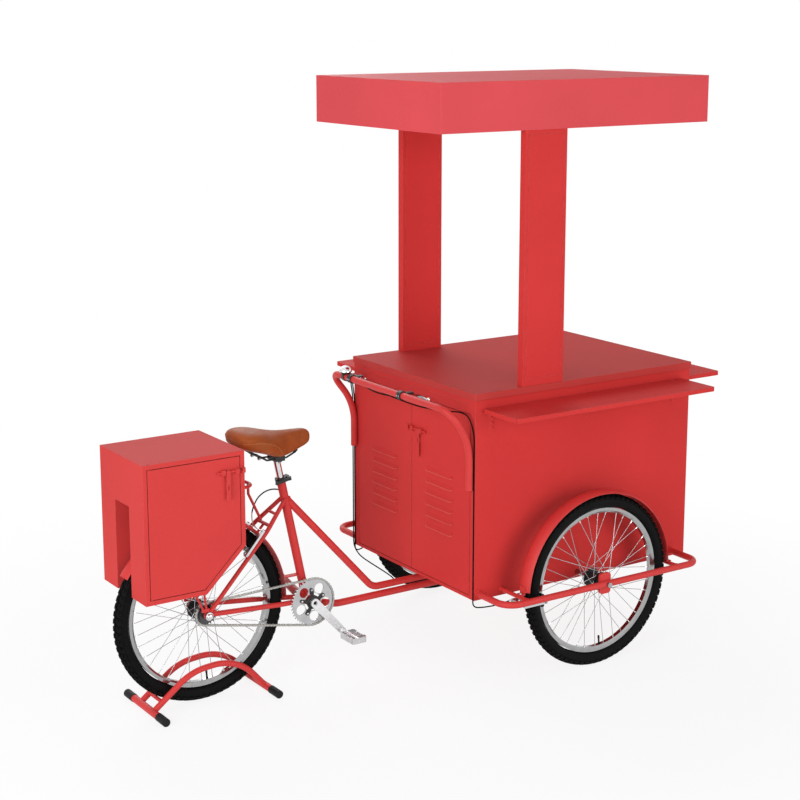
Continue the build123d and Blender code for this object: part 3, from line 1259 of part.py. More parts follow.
def brake_lever(y, direction):
    """Lever blade from its pivot out along the bar, with a ball end."""
    pivot = (BAR_X + LEVER_PIVOT_OUT, y)
    bend = (BAR_X + LEVER_PIVOT_OUT + 16, y + direction * 34)
    tip = (BAR_X + LEVER_PIVOT_OUT + 6, y + direction * LEVER_REACH)
    root = Pos(*pivot) * Circle(7)
    knuckle = Pos(*bend) * Circle(5)
    end = Pos(*tip) * Circle(4.5)
    blade = make_hull(root.edges() + knuckle.edges()) + make_hull(knuckle.edges() + end.edges())
    lever = Pos(0, 0, BAR_Z) * extrude(blade, amount=4, both=True)
    lever += Pos(tip[0], tip[1], BAR_Z) * Sphere(7)
    return lever - rod((*pivot, BAR_Z - 20), (*pivot, BAR_Z + 20), 6 + 2 * RUN_FIT)


BELL_Y = 292.0


def bell():
    """Domed bell on a clamp band: the base with its post, and the dome that sits on it."""
    band = rod((BAR_X, BELL_Y - 8, BAR_Z), (BAR_X, BELL_Y + 8, BAR_Z), BAR_DIAMETER + 7)
    band -= rod((BAR_X, BELL_Y - 20, BAR_Z), (BAR_X, BELL_Y + 20, BAR_Z), BAR_DIAMETER + 2 * SEAT_GAP)
    base_z = BAR_Z + BAR_DIAMETER / 2 + 3
    base = Pos(BAR_X, BELL_Y, base_z) * Cylinder(21, 5, align=(Align.CENTER, Align.CENTER, Align.MIN))
    outline = make_face([
        ThreePointArc((26, 0), (17, 16), (0, 22)), Line((0, 22), (0, 20.4)),
        ThreePointArc((0, 20.4), (15.8, 14.8), (24.4, 0)), Line((24.4, 0), (26, 0)),
    ])
    dome = revolve(Plane.XZ * outline, axis=Axis.Z)
    dome = Pos(BAR_X, BELL_Y, base_z + 6) * dome
    dome += Pos(BAR_X, BELL_Y, base_z + 27.5) * Cylinder(6, 3)
    post_top = rod((BAR_X, BELL_Y, base_z), (BAR_X, BELL_Y, base_z + 26 - SEAT_GAP), 8)
    return [band + base + post_top, dome]


# Brake cables: routes of points chosen along the bar, the box corners and the frame

def corner_route(side, x, y):
    """Where a cable reaches one rear corner of the box, from beside the bar."""
    return [(x - 12, side * (y - 4), 990), (x, side * y, 930)]


def cable_radii(points):
    """Largest bend that the runs at each inner point allow."""
    radii = []
    for before, here, after in zip(points, points[1:], points[2:]):
        first = Vector(*here) - Vector(*before)
        second = Vector(*after) - Vector(*here)
        turn = first.get_angle(second)
        shorter = min(first.length, second.length)
        radii.append(min(0.45 * shorter / tan(radians(turn) / 2), 400))
    return radii


def cable(points):
    return bent_bar(points, cable_radii(points), CABLE_DIAMETER)


def front_cable(side):
    """From the far lever, slack under the bar, down the box's corner and forward to the front brake."""
    x = BOX_REAR_X - CABLE_DIAMETER / 2 - 0.3
    y = BOX_HALF_WIDTH - 2.4
    if side < 0:
        start_y = LEVER_PLACES["left"]
        across = [
            (BAR_X + 50, start_y - 16, BAR_Z - 2), (BAR_X + 44, start_y - 64, BAR_Z - 12),
            (BAR_X + 20, start_y - 140, BAR_Z - 18), (BAR_X + 10, start_y - 240, BAR_Z - 20),
            (BAR_X + 10, -110, BAR_Z - 24), (BAR_X + 16, -210, BAR_Z - 26), (BAR_X + 48, -310, BAR_Z - 24),
        ]
    else:
        start_y = LEVER_PLACES["right"]
        across = [
            (BAR_X + 38, start_y + 16, BAR_Z - 2), (BAR_X + 34, start_y + 60, BAR_Z - 18),
            (BAR_X + 18, start_y + 130, BAR_Z - 27), (BAR_X + 16, start_y + 220, BAR_Z - 28),
            (BAR_X + 40, start_y + 310, BAR_Z - 28), (BAR_X + 66, start_y + 405, BAR_Z - 24),
        ]
    across.append((BAR_X + 86, side * 380, BAR_Z - 20))
    down = corner_route(side, x, y)
    caliper_x = FRONT_X - BRACE_OFFSET
    end_y = FRONT_WHEEL_Y - TYRE_WIDTH / 2 - 20
    under = [
        (x, side * y, 284), (x + 40, side * (y + 12), 280), (caliper_x - 34, side * (y + 46), 292),
        (caliper_x + 3, side * end_y, CALIPER_Z[0] + 6),
    ]
    return across + down + under


def rear_cable():
    """From the left lever down the box's corner, slack under the box, then along the frame to the brake."""
    x = BOX_REAR_X - 3 * CABLE_DIAMETER / 2 - 1.4
    y = BOX_HALF_WIDTH - 0.5
    start_y = LEVER_PLACES["left"]
    across = [
        (BAR_X + 30, start_y + 15, BAR_Z - 16), (BAR_X + 44, start_y + 60, BAR_Z - 22),
        (BAR_X + 72, start_y + 130, BAR_Z - 22),
    ]
    down = corner_route(1, x, y)
    slack = [
        (x, y, 340), (x - 2, y - 6, 304), (x + 4, y - 40, 272), (x + 22, y - 100, 252),
        (x + 24, y - 190, 244), (x + 6, y - 280, 248), (x - 34, y - 352, 262),
    ]
    side_y = MAIN_TUBE_DIAMETER / 2 + CABLE_DIAMETER / 2 + 0.8
    rise = UPPER_TUBE_START_Z - UPPER_TUBE_Z
    slope = rise / (UPPER_TUBE_BEND_X - seat_axis_point(UPPER_TUBE_START_Z).X)
    along = [
        (UPPER_TUBE_BEND_X + 60, side_y + 6, UPPER_TUBE_Z), (UPPER_TUBE_BEND_X, side_y, UPPER_TUBE_Z + 4),
        (UPPER_TUBE_BEND_X - 310, side_y, UPPER_TUBE_Z + 310 * slope),
    ]
    loop = [
        (372, 26, 712), (320, 34, 728), (270, 34, 712), (238, 26, 676), (228, 18, 652),
    ]
    return across + down + slack + along + loop


# Everything by name

def wheel_nodes(prefix, hub_half, sprocket_seat, place):
    """The four pieces of one wheel, set at its place."""
    return {
        prefix + "_tyre": place * tyre(),
        prefix + "_rim": place * rim(),
        prefix + "_spokes": [place * bar for bar in spokes()],
        prefix + "_hub": place * hub(hub_half, sprocket_seat),
    }


def all_nodes():
    guard = wheel_guard()
    fender = front_fender()
    axle = front_axle()
    brake = front_brake()
    shelf_left = side_shelf()
    nodes = {
        "frame_main": frame_main(),
        "rear_triangle": rear_triangle(),
        "rear_fender": rear_fender(),
        "box_carrier": box_carrier(),
        "rear_box": rear_box(),
        "rear_box_door": rear_box_door(),
        "rear_box_bolt": rear_box_bolt(),
        "saddle": saddle(),
        "saddle_frame": saddle_frame(),
        "seat_post": seat_post(),
        "seat_clamp": seat_clamp(),
        "seat_clamp_lever": seat_clamp_lever(),
        "rear_brake_arm_right": rear_brake_arm(-1),
        "rear_brake_arm_left": rear_brake_arm(1),
        "rear_axle": rear_axle(),
        "freewheel": freewheel(),
        "chain": chain(),
        "chainring": chainring(),
        "crank_spider": crank_spider(),
        "crank_arms": [crank_arm(-1), crank_arm(1)],
        "spindle": spindle(),
        "pedal_right": pedal(-1),
        "pedal_left": pedal(1),
        "stand": stand(),
        "stand_feet": stand_feet(),
        "chassis": chassis(),
        "king_pin": king_pin(),
        "cart_box": cart_box(),
        "counter_top": counter_top(),
        "door_right": door(-1),
        "door_left": door(1),
        "door_bolt": door_bolt(),
        "shelf_right": mirrored(shelf_left),
        "shelf_left": shelf_left,
        "shelf_front": front_shelf(),
        "roof_posts": [roof_post(), mirrored(roof_post())],
        "roof": roof(),
        "wheel_guards": [guard, mirrored(guard)],
        "front_fenders": [fender, mirrored(fender)],
        "front_axles": axle + [mirrored(piece) for piece in axle],
        "front_brakes": [brake, mirrored(brake)],
        "handlebar": handlebar(),
        "lever_mounts": [lever_mount(y) for y in LEVER_PLACES.values()],
        "brake_lever_right": brake_lever(LEVER_PLACES["right"], -1),
        "brake_lever_left": brake_lever(LEVER_PLACES["left"], 1),
        "bell": bell(),
        "front_brake_cables": [cable(front_cable(-1)), cable(front_cable(1))],
        "rear_brake_cable": cable(rear_cable()),
    }
    nodes.update(wheel_nodes("rear", REAR_HUB_HALF, FREEWHEEL_BORE, Pos(0, 0, AXLE_Z)))
    right = Pos(FRONT_X, -FRONT_WHEEL_Y, AXLE_Z)
    left = Pos(FRONT_X, FRONT_WHEEL_Y, AXLE_Z)
    nodes.update(wheel_nodes("front_right", FRONT_HUB_HALF, 0, right))
    nodes.update(wheel_nodes("front_left", FRONT_HUB_HALF, 0, left))
    return nodes


os.makedirs("parts", exist_ok=True)
for name, pieces in all_nodes().items():
    group = pieces if isinstance(pieces, list) else [pieces]
    solids = [solid for piece in group for solid in (Pos(X_SHIFT, 0, 0) * piece).solids()]
    export_step(Compound(solids), "parts/" + name + ".step")
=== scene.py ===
from math import acos, atan2, ceil, cos, pi, radians, sin, sqrt

import bmesh
import bpy
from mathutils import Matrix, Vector


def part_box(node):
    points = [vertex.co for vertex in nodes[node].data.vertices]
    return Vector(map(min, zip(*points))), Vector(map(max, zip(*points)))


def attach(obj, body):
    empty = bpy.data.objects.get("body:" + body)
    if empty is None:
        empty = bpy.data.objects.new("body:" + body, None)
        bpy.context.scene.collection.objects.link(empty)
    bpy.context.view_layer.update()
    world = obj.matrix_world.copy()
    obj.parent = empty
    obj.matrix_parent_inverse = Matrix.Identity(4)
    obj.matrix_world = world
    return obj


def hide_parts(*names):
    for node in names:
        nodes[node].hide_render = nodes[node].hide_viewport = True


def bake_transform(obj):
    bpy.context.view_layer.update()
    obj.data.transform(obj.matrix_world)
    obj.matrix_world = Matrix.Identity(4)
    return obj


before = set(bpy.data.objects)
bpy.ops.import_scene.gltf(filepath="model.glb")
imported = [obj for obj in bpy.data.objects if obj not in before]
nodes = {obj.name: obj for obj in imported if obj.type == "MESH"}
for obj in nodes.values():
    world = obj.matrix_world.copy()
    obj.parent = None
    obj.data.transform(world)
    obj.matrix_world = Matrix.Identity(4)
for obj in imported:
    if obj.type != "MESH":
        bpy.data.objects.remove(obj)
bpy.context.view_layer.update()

# Studio: a white floor that runs to the horizon, lit by three large soft lamps.
# One lamp stands on each side of the camera, and one behind the cart.
# The camera stands behind the cart's right side, a little above the roof, with a long lens.
scene = bpy.context.scene
scene.view_settings.view_transform = "Standard"


def in_scene(name, data):
    """A new object in the scene."""
    thing = bpy.data.objects.new(name, data)
    scene.collection.objects.link(thing)
    return thing


CAMERA_PLACE = (-3.488, -5.200, 2.437)
CAMERA_AZIMUTH = radians(-33.6)
CAMERA_ELEVATION = radians(11.6)
FOCAL_PIXELS = 1698.0
SENSOR = 36.0
FRAME_PIXELS = 800.0
CENTRE_ROW = 358.5

camera_data = bpy.data.cameras.new("photo_camera")
camera_data.sensor_width = SENSOR
camera_data.lens = FOCAL_PIXELS / FRAME_PIXELS * SENSOR
camera_data.shift_y = (CENTRE_ROW - FRAME_PIXELS / 2) / FRAME_PIXELS
camera = in_scene("photo_camera", camera_data)
backward = Vector((
    sin(CAMERA_AZIMUTH) * cos(CAMERA_ELEVATION),
    -cos(CAMERA_AZIMUTH) * cos(CAMERA_ELEVATION),
    sin(CAMERA_ELEVATION),
))
camera.rotation_euler = backward.to_track_quat("Z", "Y").to_euler()
camera.location = CAMERA_PLACE
scene.camera = camera

LAMP_TARGET = Vector((0.0, 0.0, 0.9))
LAMP_SIZE = 4.0
LAMPS = [
    # name, place, power in watts
    ("lamp_left", (-5.4, -2.7, 2.3), 215.0),
    ("lamp_right", (2.3, -6.6, 1.5), 168.0),
    ("lamp_back", (1.0, 5.0, 4.5), 150.0),
]
for lamp_name, lamp_place, lamp_power in LAMPS:
    lamp_data = bpy.data.lights.new(lamp_name, "AREA")
    lamp_data.shape = "SQUARE"
    lamp_data.size = LAMP_SIZE
    lamp_data.energy = lamp_power
    lamp = in_scene(lamp_name, lamp_data)
    lamp.location = lamp_place
    lamp_aim = Vector(lamp_place) - LAMP_TARGET
    lamp.rotation_euler = lamp_aim.to_track_quat("Z", "Y").to_euler()


def remap(tree, source, source_range, target_range):
    """A value spread from one range to another."""
    node = tree.nodes.new("ShaderNodeMapRange")
    node.inputs["From Min"].default_value, node.inputs["From Max"].default_value = source_range
    node.inputs["To Min"].default_value, node.inputs["To Max"].default_value = target_range
    tree.links.new(source, node.inputs["Value"])
    return node.outputs["Result"]


def product(tree, first, second):
    """Two values multiplied."""
    node = tree.nodes.new("ShaderNodeMath")
    node.operation = "MULTIPLY"
    tree.links.new(first, node.inputs[0])
    tree.links.new(second, node.inputs[1])
    return node.outputs["Value"]


def seen_or_mirrored(tree):
    """One for what is seen, straight, mirrored or through glass, and nothing for light on other things."""
    rays = tree.nodes.new("ShaderNodeLightPath")
    share = rays.outputs["Is Camera Ray"]
    for kind in ("Is Glossy Ray", "Is Transmission Ray"):
        either = tree.nodes.new("ShaderNodeMath")
        either.operation = "MAXIMUM"
        tree.links.new(share, either.inputs[0])
        tree.links.new(rays.outputs[kind], either.inputs[1])
        share = either.outputs["Value"]
    return share


WHITE = (1.0, 1.0, 1.0, 1.0)
SKY_LIGHT = 0.47
FULL_RANGE = (0.0, 1.0)
world = bpy.data.worlds.new("studio_world")
scene.world = world
world.use_nodes = True
world_tree = world.node_tree
sky = world_tree.nodes["Background"]
sky.inputs["Color"].default_value = WHITE
sky_strength = remap(world_tree, seen_or_mirrored(world_tree), FULL_RANGE, (SKY_LIGHT, 1.0))
world_tree.links.new(sky_strength, sky.inputs["Strength"])


def new_material(name):
    """A material with its node tree and its one surface shader."""
    material = bpy.data.materials.new(name)
    material.use_nodes = True
    return material, material.node_tree, material.node_tree.nodes["Principled BSDF"]


FLOOR_HALF = 40.0
FLOOR_TONE = 0.90
FLOOR_ROUGHNESS = 0.9
SHADOW_REACH = (1.4, 2.6)
WHITENESS = (0.86, 1.0)
floor_corners = [
    (-FLOOR_HALF, -FLOOR_HALF, 0), (FLOOR_HALF, -FLOOR_HALF, 0),
    (FLOOR_HALF, FLOOR_HALF, 0), (-FLOOR_HALF, FLOOR_HALF, 0),
]
floor_mesh = bpy.data.meshes.new("studio_floor")
floor_mesh.from_pydata(floor_corners, [], [(0, 1, 2, 3)])
floor = in_scene("studio_floor", floor_mesh)
floor_paint, floor_tree, floor_shader = new_material("studio_white")
floor_shader.inputs["Base Color"].default_value = (FLOOR_TONE, FLOOR_TONE, FLOOR_TONE, 1.0)
floor_shader.inputs["Roughness"].default_value = FLOOR_ROUGHNESS
# To the eye the floor is mostly plain white, with enough paint near the cart to keep a faint shadow.
floor_place = floor_tree.nodes.new("ShaderNodeTexCoord")
floor_reach = floor_tree.nodes.new("ShaderNodeVectorMath")
floor_reach.operation = "LENGTH"
floor_tree.links.new(floor_place.outputs["Object"], floor_reach.inputs[0])
whiteness = remap(floor_tree, floor_reach.outputs["Value"], SHADOW_REACH, WHITENESS)
floor_glow = floor_tree.nodes.new("ShaderNodeEmission")
floor_mix = floor_tree.nodes.new("ShaderNodeMixShader")
floor_tree.links.new(product(floor_tree, whiteness, seen_or_mirrored(floor_tree)), floor_mix.inputs["Fac"])
floor_tree.links.new(floor_shader.outputs["BSDF"], floor_mix.inputs[1])
floor_tree.links.new(floor_glow.outputs["Emission"], floor_mix.inputs[2])
floor_tree.links.new(floor_mix.outputs["Shader"], floor_tree.nodes["Material Output"].inputs["Surface"])
floor_mesh.materials.append(floor_paint)


# Counter box and chassis: folded steel sheet on a ladder of square tube, powder-coated red after welding.
# The coat is dry powder, baked on, which leaves orange peel, a slight speckle and a slow drift of tone.

def shader_group(name, inputs, outputs):
    """An empty node group with its sockets, and its two end nodes."""
    tree = bpy.data.node_groups.new(name, "ShaderNodeTree")
    for label, kind, value in inputs:
        socket = tree.interface.new_socket(label, in_out="INPUT", socket_type=kind)
        socket.default_value = value
    for label, kind in outputs:
        tree.interface.new_socket(label, in_out="OUTPUT", socket_type=kind)
    return tree, tree.nodes.new("NodeGroupInput"), tree.nodes.new("NodeGroupOutput")


def place_noise(tree, cycles_and_detail):
    """Noise fixed to the object, from its cycles per metre and its detail."""
    place = tree.nodes.new("ShaderNodeTexCoord")
    noise = tree.nodes.new("ShaderNodeTexNoise")
    noise.inputs["Scale"].default_value, noise.inputs["Detail"].default_value = cycles_and_detail
    tree.links.new(place.outputs["Object"], noise.inputs["Vector"])
    return noise.outputs["Fac"]


def tinted(tree, colour, factor):
    """A colour made lighter or darker by a factor around one."""
    node = tree.nodes.new("ShaderNodeVectorMath")
    node.operation = "SCALE"
    tree.links.new(colour, node.inputs[0])
    tree.links.new(factor, node.inputs["Scale"])
    return node.outputs["Vector"]


def mixed(tree, factor, first, second):
    """One colour turned into another by a mask; either may be a plain colour."""
    node = tree.nodes.new("ShaderNodeMix")
    node.data_type = "RGBA"
    tree.links.new(factor, node.inputs["Factor"])
    for label, colour in (("A", first), ("B", second)):
        if isinstance(colour, tuple):
            node.inputs[label].default_value = (*colour, 1.0)
        else:
            tree.links.new(colour, node.inputs[label])
    return node.outputs["Result"]


RED = (0.60, 0.040, 0.038)
RED_EDGE_HIGHLIGHT = (0.80, 0.20, 0.18)
NOISE_SPREAD = (0.3, 0.7)
DRIFT_NOISE = (2.3, 3.0)
DRIFT_TONES = (0.955, 1.045)
SPECKLE_NOISE = (420.0, 2.0)
SPECKLE_TONES = (0.93, 1.07)
PEEL_NOISE = (560.0, 3.0)
PEEL_DEPTH = 0.0004
PEEL_ROUGHNESS = (0.42, 0.58)
EDGE_RADIUS = 0.002
EDGE_SAMPLES = 4
EDGE_TURN = (0.76, 0.99)
HIGHLIGHT_WEAR_NOISE = (70.0, 4.0)
HIGHLIGHT_WEAR_SPREAD = (0.35, 0.7)
HIGHLIGHT_WEAR_SHARES = (0.15, 0.75)
coat_group, coat_in, coat_out = shader_group(
    "powder_coat",
    [("Colour", "NodeSocketColor", (*RED, 1.0)), ("Edge highlight colour", "NodeSocketColor", (*RED_EDGE_HIGHLIGHT, 1.0))],
    [
        ("Colour", "NodeSocketColor"), ("Roughness", "NodeSocketFloat"), ("Height", "NodeSocketFloat"),
        ("Rounded", "NodeSocketVector"),
    ],
)
drift = remap(coat_group, place_noise(coat_group, DRIFT_NOISE), NOISE_SPREAD, DRIFT_TONES)
speckle = remap(coat_group, place_noise(coat_group, SPECKLE_NOISE), NOISE_SPREAD, SPECKLE_TONES)
peel = place_noise(coat_group, PEEL_NOISE)
toned = tinted(coat_group, coat_in.outputs["Colour"], product(coat_group, drift, speckle))
rounded = coat_group.nodes.new("ShaderNodeBevel")
rounded.samples = EDGE_SAMPLES
rounded.inputs["Radius"].default_value = EDGE_RADIUS
surface = coat_group.nodes.new("ShaderNodeNewGeometry")
turn = coat_group.nodes.new("ShaderNodeVectorMath")
turn.operation = "DOT_PRODUCT"
coat_group.links.new(rounded.outputs["Normal"], turn.inputs[0])
coat_group.links.new(surface.outputs["Normal"], turn.inputs[1])
# The paler edge colour along the bevelled edges is a painted highlight, broken into patches like light wear.
edge_highlight_mask = remap(coat_group, turn.outputs["Value"], EDGE_TURN, (1.0, 0.0))
highlight_and_wear_patches = remap(coat_group, place_noise(coat_group, HIGHLIGHT_WEAR_NOISE), HIGHLIGHT_WEAR_SPREAD, HIGHLIGHT_WEAR_SHARES)
worn_and_highlighted = mixed(coat_group, product(coat_group, edge_highlight_mask, highlight_and_wear_patches), toned, coat_in.outputs["Edge highlight colour"])
coat_group.links.new(worn_and_highlighted, coat_out.inputs["Colour"])
coat_group.links.new(remap(coat_group, peel, NOISE_SPREAD, PEEL_ROUGHNESS), coat_out.inputs["Roughness"])
coat_group.links.new(peel, coat_out.inputs["Height"])
coat_group.links.new(rounded.outputs["Normal"], coat_out.inputs["Rounded"])


def use_group(tree, group, values):
    """A group's node in a material, with its own values."""
    node = tree.nodes.new("ShaderNodeGroup")
    node.node_tree = group
    for label, value in values.items():
        node.inputs[label].default_value = (*value, 1.0) if isinstance(value, tuple) else value
    return node


def lead_surface(tree, group_node, shader):
    """Lead a group's colour and roughness to the shader."""
    tree.links.new(group_node.outputs["Colour"], shader.inputs["Base Color"])
    tree.links.new(group_node.outputs["Roughness"], shader.inputs["Roughness"])


def bump(tree, shader, height, distance, strength=0.5):
    """Relief from a height, on the shader's normal."""
    node = tree.nodes.new("ShaderNodeBump")
    node.inputs["Strength"].default_value = strength
    node.inputs["Distance"].default_value = distance
    tree.links.new(height, node.inputs["Height"])
    tree.links.new(node.outputs["Normal"], shader.inputs["Normal"])
    return node


def coated(name, colour, edge_highlight_colour, relief=0.35, shine=0.05):
    """Powder-coated steel in one colour, with a painted highlight along its edges, patchy like light wear."""
    material, tree, shader = new_material(name)
    shader.inputs["Specular IOR Level"].default_value = shine
    coat = use_group(tree, coat_group, {"Colour": colour, "Edge highlight colour": edge_highlight_colour})
    lead_surface(tree, coat, shader)
    peel_bump = bump(tree, shader, coat.outputs["Height"], PEEL_DEPTH, relief)
    tree.links.new(coat.outputs["Rounded"], peel_bump.inputs["Normal"])
    return material


def give_finish(material, *names):
    """Give CAD nodes their finish."""
    for name in names:
        slots = nodes[name].data.materials
        slots.clear()
        slots.append(material)


red_coat = coated("red_powder_coat", RED, RED_EDGE_HIGHLIGHT)
give_finish(red_coat, "chassis", "cart_box")


def finished_mesh(name, work, sharp_angle):
    """Turn a worked mesh into a smooth-shaded one with its sharp edges kept."""
    bmesh.ops.recalc_face_normals(work, faces=work.faces)
    mesh = bpy.data.meshes.new(name)
    work.to_mesh(mesh)
    work.free()
    mesh.shade_smooth()
    mesh.set_sharp_from_angle(angle=radians(sharp_angle))
    return mesh


def add_piece(name, work, material, body, sharp_angle=35):
    """Put a worked mesh in the scene, riding on a body, with the slot that its finish belongs to."""
    mesh = finished_mesh(name, work, sharp_angle)
    mesh.materials.append(material)
    piece = in_scene(name, mesh)
    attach(piece, body)
    return piece


def middle_of(node):
    """Middle of a node's box."""
    low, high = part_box(node)
    return (low + high) / 2


# Lengths that go into from_axle are in millimetres, and all others in metres.
REAR_AXLE_X = middle_of("rear_rim").x


def from_axle(x, y, z):
    """A point in millimetres: along the cart from the rear axle, across it, and up from the floor."""
    return Vector((REAR_AXLE_X + x / 1000, y / 1000, z / 1000))


def quad_strip(work, first, second):
    """Faces between two closed rows of points."""
    count = len(first)
    for index in range(count):
        after = (index + 1) % count
        work.faces.new((first[index], first[after], second[after], second[index]))


def closed_skin(work, rows):
    """Faces along rows of points, with a face over each end."""
    for first, second in zip(rows, rows[1:]):
        quad_strip(work, first, second)
    work.faces.new(rows[0])
    work.faces.new(rows[-1])


def round_row(work, middle, along, across, radius, sides):
    """A ring of points round a middle, square to a line."""
    other = along.cross(across)
    row = []
    for step in range(sides):
        angle = 2 * pi * step / sides
        row.append(work.verts.new(middle + (across * cos(angle) + other * sin(angle)) * radius))
    return row


def turned_bar(work, start, end, stations, sides):
    """A round bar along a line: each station is its share of the way and its radius there, in metres."""
    along = (end - start).normalized()
    across = along.orthogonal().normalized()
    rows = []
    for share, radius in stations:
        rows.append(round_row(work, start.lerp(end, share), along, across, radius, sides))
    closed_skin(work, rows)


PAN_HEAD = [(0.0, 1.0), (0.25, 1.0), (0.62, 0.86), (0.88, 0.52), (1.0, 0.3)]
PAN_SIDES = 14
WASHER = [(0.0, 1.45), (1.0, 1.4)]
WASHER_SHEET = 0.0012
WASHER_SIDES = 18
HEX_HEAD = [(0.0, 1.0), (0.8, 1.0), (1.0, 0.86)]
HEX_SIDES = 6


def scaled(stations, radius):
    """Stations whose radii are shares of one radius, in metres."""
    return [(share, radius * part) for share, part in stations]


def pan_screw(work, seat, outward, radius, height):
    """Domed screw head standing on a surface."""
    turned_bar(work, seat, seat + outward * height, scaled(PAN_HEAD, radius), PAN_SIDES)


def hex_bolt(work, seat, outward, radius, height):
    """Hexagon head on a thin washer."""
    washer_top = seat + outward * WASHER_SHEET
    turned_bar(work, seat, washer_top, scaled(WASHER, radius), WASHER_SIDES)
    turned_bar(work, washer_top, washer_top + outward * height, scaled(HEX_HEAD, radius), HEX_SIDES)


FORWARD = Vector((1, 0, 0))
LEFTWARD = Vector((0, 1, 0))
UPWARD = Vector((0, 0, 1))
BRACKET_X = (986.0, 1425.0, 1864.0)
BRACKET_Y = (-330.0, 0.0, 330.0)
BRACKET_HOLE_Z = (992.0, 974.0, 956.0)
BOX_SIDE_Y = 409.0
BOX_FRONT_X = 1950.0
BRACKET_SHEET = 2.5
BRACKET_SCREW_RADIUS = 0.0058
BRACKET_SCREW_HEIGHT = 0.003
screws = bmesh.new()
for hole_z in BRACKET_HOLE_Z:
    seats = []
    for side in (-1, 1):
        side_y = side * (BOX_SIDE_Y + BRACKET_SHEET)
        seats += [(from_axle(bracket_x, side_y, hole_z), LEFTWARD * side) for bracket_x in BRACKET_X]
    front_x = BOX_FRONT_X + BRACKET_SHEET
    seats += [(from_axle(front_x, bracket_y, hole_z), FORWARD) for bracket_y in BRACKET_Y]
    for seat, outward in seats:
        pan_screw(screws, seat, outward, BRACKET_SCREW_RADIUS, BRACKET_SCREW_HEIGHT)
add_piece("bracket_screws", screws, red_coat, "cart")


# Counter, doors and shelves: folded trays and pans in the same red coat, the doors pressed with louvres.
# The counter takes a darker, duller red than the body's, painted shade on its top, and each louvre has a
# rolled lip.
COUNTER_SHADED_RED = (0.50, 0.050, 0.046)
COUNTER_SHADED_EDGE_HIGHLIGHT = (0.62, 0.14, 0.12)
counter_shaded_coat = coated("counter_shaded_powder_coat", COUNTER_SHADED_RED, COUNTER_SHADED_EDGE_HIGHLIGHT, relief=0.6, shine=0.03)
give_finish(counter_shaded_coat, "counter_top")
give_finish(red_coat, "door_right", "door_left", "door_bolt", "shelf_right", "shelf_left", "shelf_front")


def tube_rows(work, points, radius, sides):
    """A tube along a row of points, with closed ends."""
    rows = []
    across = None
    for index, spot in enumerate(points):
        before = points[max(index - 1, 0)]
        after = points[min(index + 1, len(points) - 1)]
        along = (after - before).normalized()
        across = along.orthogonal() if across is None else across - along * across.dot(along)
        across = across.normalized()
        rows.append(round_row(work, spot, along, across, radius, sides))
    closed_skin(work, rows)


LOUVRE_COUNT = 6
LOUVRE_PITCH = 44.0
LOUVRE_TOP_Z = 748.0
LOUVRE_Y = 185.0
LOUVRE_HALF = 82.0
LOUVRE_DEPTH = 7.0
LOUVRE_DROP = 9.0
LIP_RADIUS = 0.0022
LIP_SIDES = 8
LIP_END = [
    # out past the louvre's end, back from its front edge, up from it, in millimetres
    (4.0, LOUVRE_DEPTH, 5.0), (1.0, 2.0, 1.5), (-4.0, 0.0, 0.0),
]
door_face_x = (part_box("cart_box")[0].x - REAR_AXLE_X) * 1000
# The lips take a lighter red than the doors, a painted highlight along each louvre's lower edge.
LIP_HIGHLIGHT_RED = (0.70, 0.085, 0.075)
LIP_EDGE_HIGHLIGHT = (0.86, 0.28, 0.25)
SIDES = ((-1, "right"), (1, "left"))
lip_highlight_coat = coated("lip_highlight_red_coat", LIP_HIGHLIGHT_RED, LIP_EDGE_HIGHLIGHT)
for side, name in SIDES:
    lips = bmesh.new()
    for index in range(LOUVRE_COUNT):
        lip_z = LOUVRE_TOP_Z - LOUVRE_DROP - index * LOUVRE_PITCH
        lip_x = door_face_x - LOUVRE_DEPTH
        lip = []
        for end, places in ((-1, LIP_END), (1, reversed(LIP_END))):
            for out, back, up in places:
                lip.append(from_axle(lip_x + back, side * LOUVRE_Y + end * (LOUVRE_HALF + out), lip_z + up))
        tube_rows(lips, lip, LIP_RADIUS, LIP_SIDES)
    add_piece("louvre_lips_" + name, lips, lip_highlight_coat, "door_" + name)


# Roof and its two posts: a closed sheet box on flat box posts that pass down through the counter.
# The roof's coat is a slightly cooler and lighter red than the body's, a painted sheen on the roof.
ROOF_SHEEN_RED = (0.66, 0.075, 0.085)
ROOF_EDGE_HIGHLIGHT = (0.78, 0.20, 0.20)
roof_sheen_coat = coated("roof_sheen_powder_coat", ROOF_SHEEN_RED, ROOF_EDGE_HIGHLIGHT)
give_finish(roof_sheen_coat, "roof")
give_finish(red_coat, "roof_posts")


# Wheel guards and front mudguards: bent tube loops welded to the box wall, with a rolled mudguard bolted on.
# Each weld is a rippled bead left as laid, and tubes take a glossier coat than sheet.

BEAD_RIPPLES = 22
BEAD_STEPS = 4 * BEAD_RIPPLES
BEAD_SIDES = 8
RIPPLE_SHARE = 0.16
BEAD_SPREAD = 0.9


def ring_skin(work, rows):
    """Faces along rows of points that run round to the first row again."""
    for first, second in zip(rows, rows[1:] + rows[:1]):
        quad_strip(work, first, second)


def weld_bead(work, centre, axis, tube_radius, bead):
    """Rippled ring of weld round a tube that meets a surface."""
    axis = axis.normalized()
    across = axis.orthogonal().normalized()
    other = axis.cross(across)
    rows = []
    for step in range(BEAD_STEPS):
        angle = 2 * pi * step / BEAD_STEPS
        outward = across * cos(angle) + other * sin(angle)
        swell = bead * (1.0 + RIPPLE_SHARE * cos(angle * BEAD_RIPPLES))
        row = []
        for part in range(BEAD_SIDES):
            lean = 2 * pi * part / BEAD_SIDES
            reach = tube_radius + swell * cos(lean) * BEAD_SPREAD
            row.append(work.verts.new(centre + outward * reach + axis * swell * sin(lean)))
        rows.append(row)
    ring_skin(work, rows)


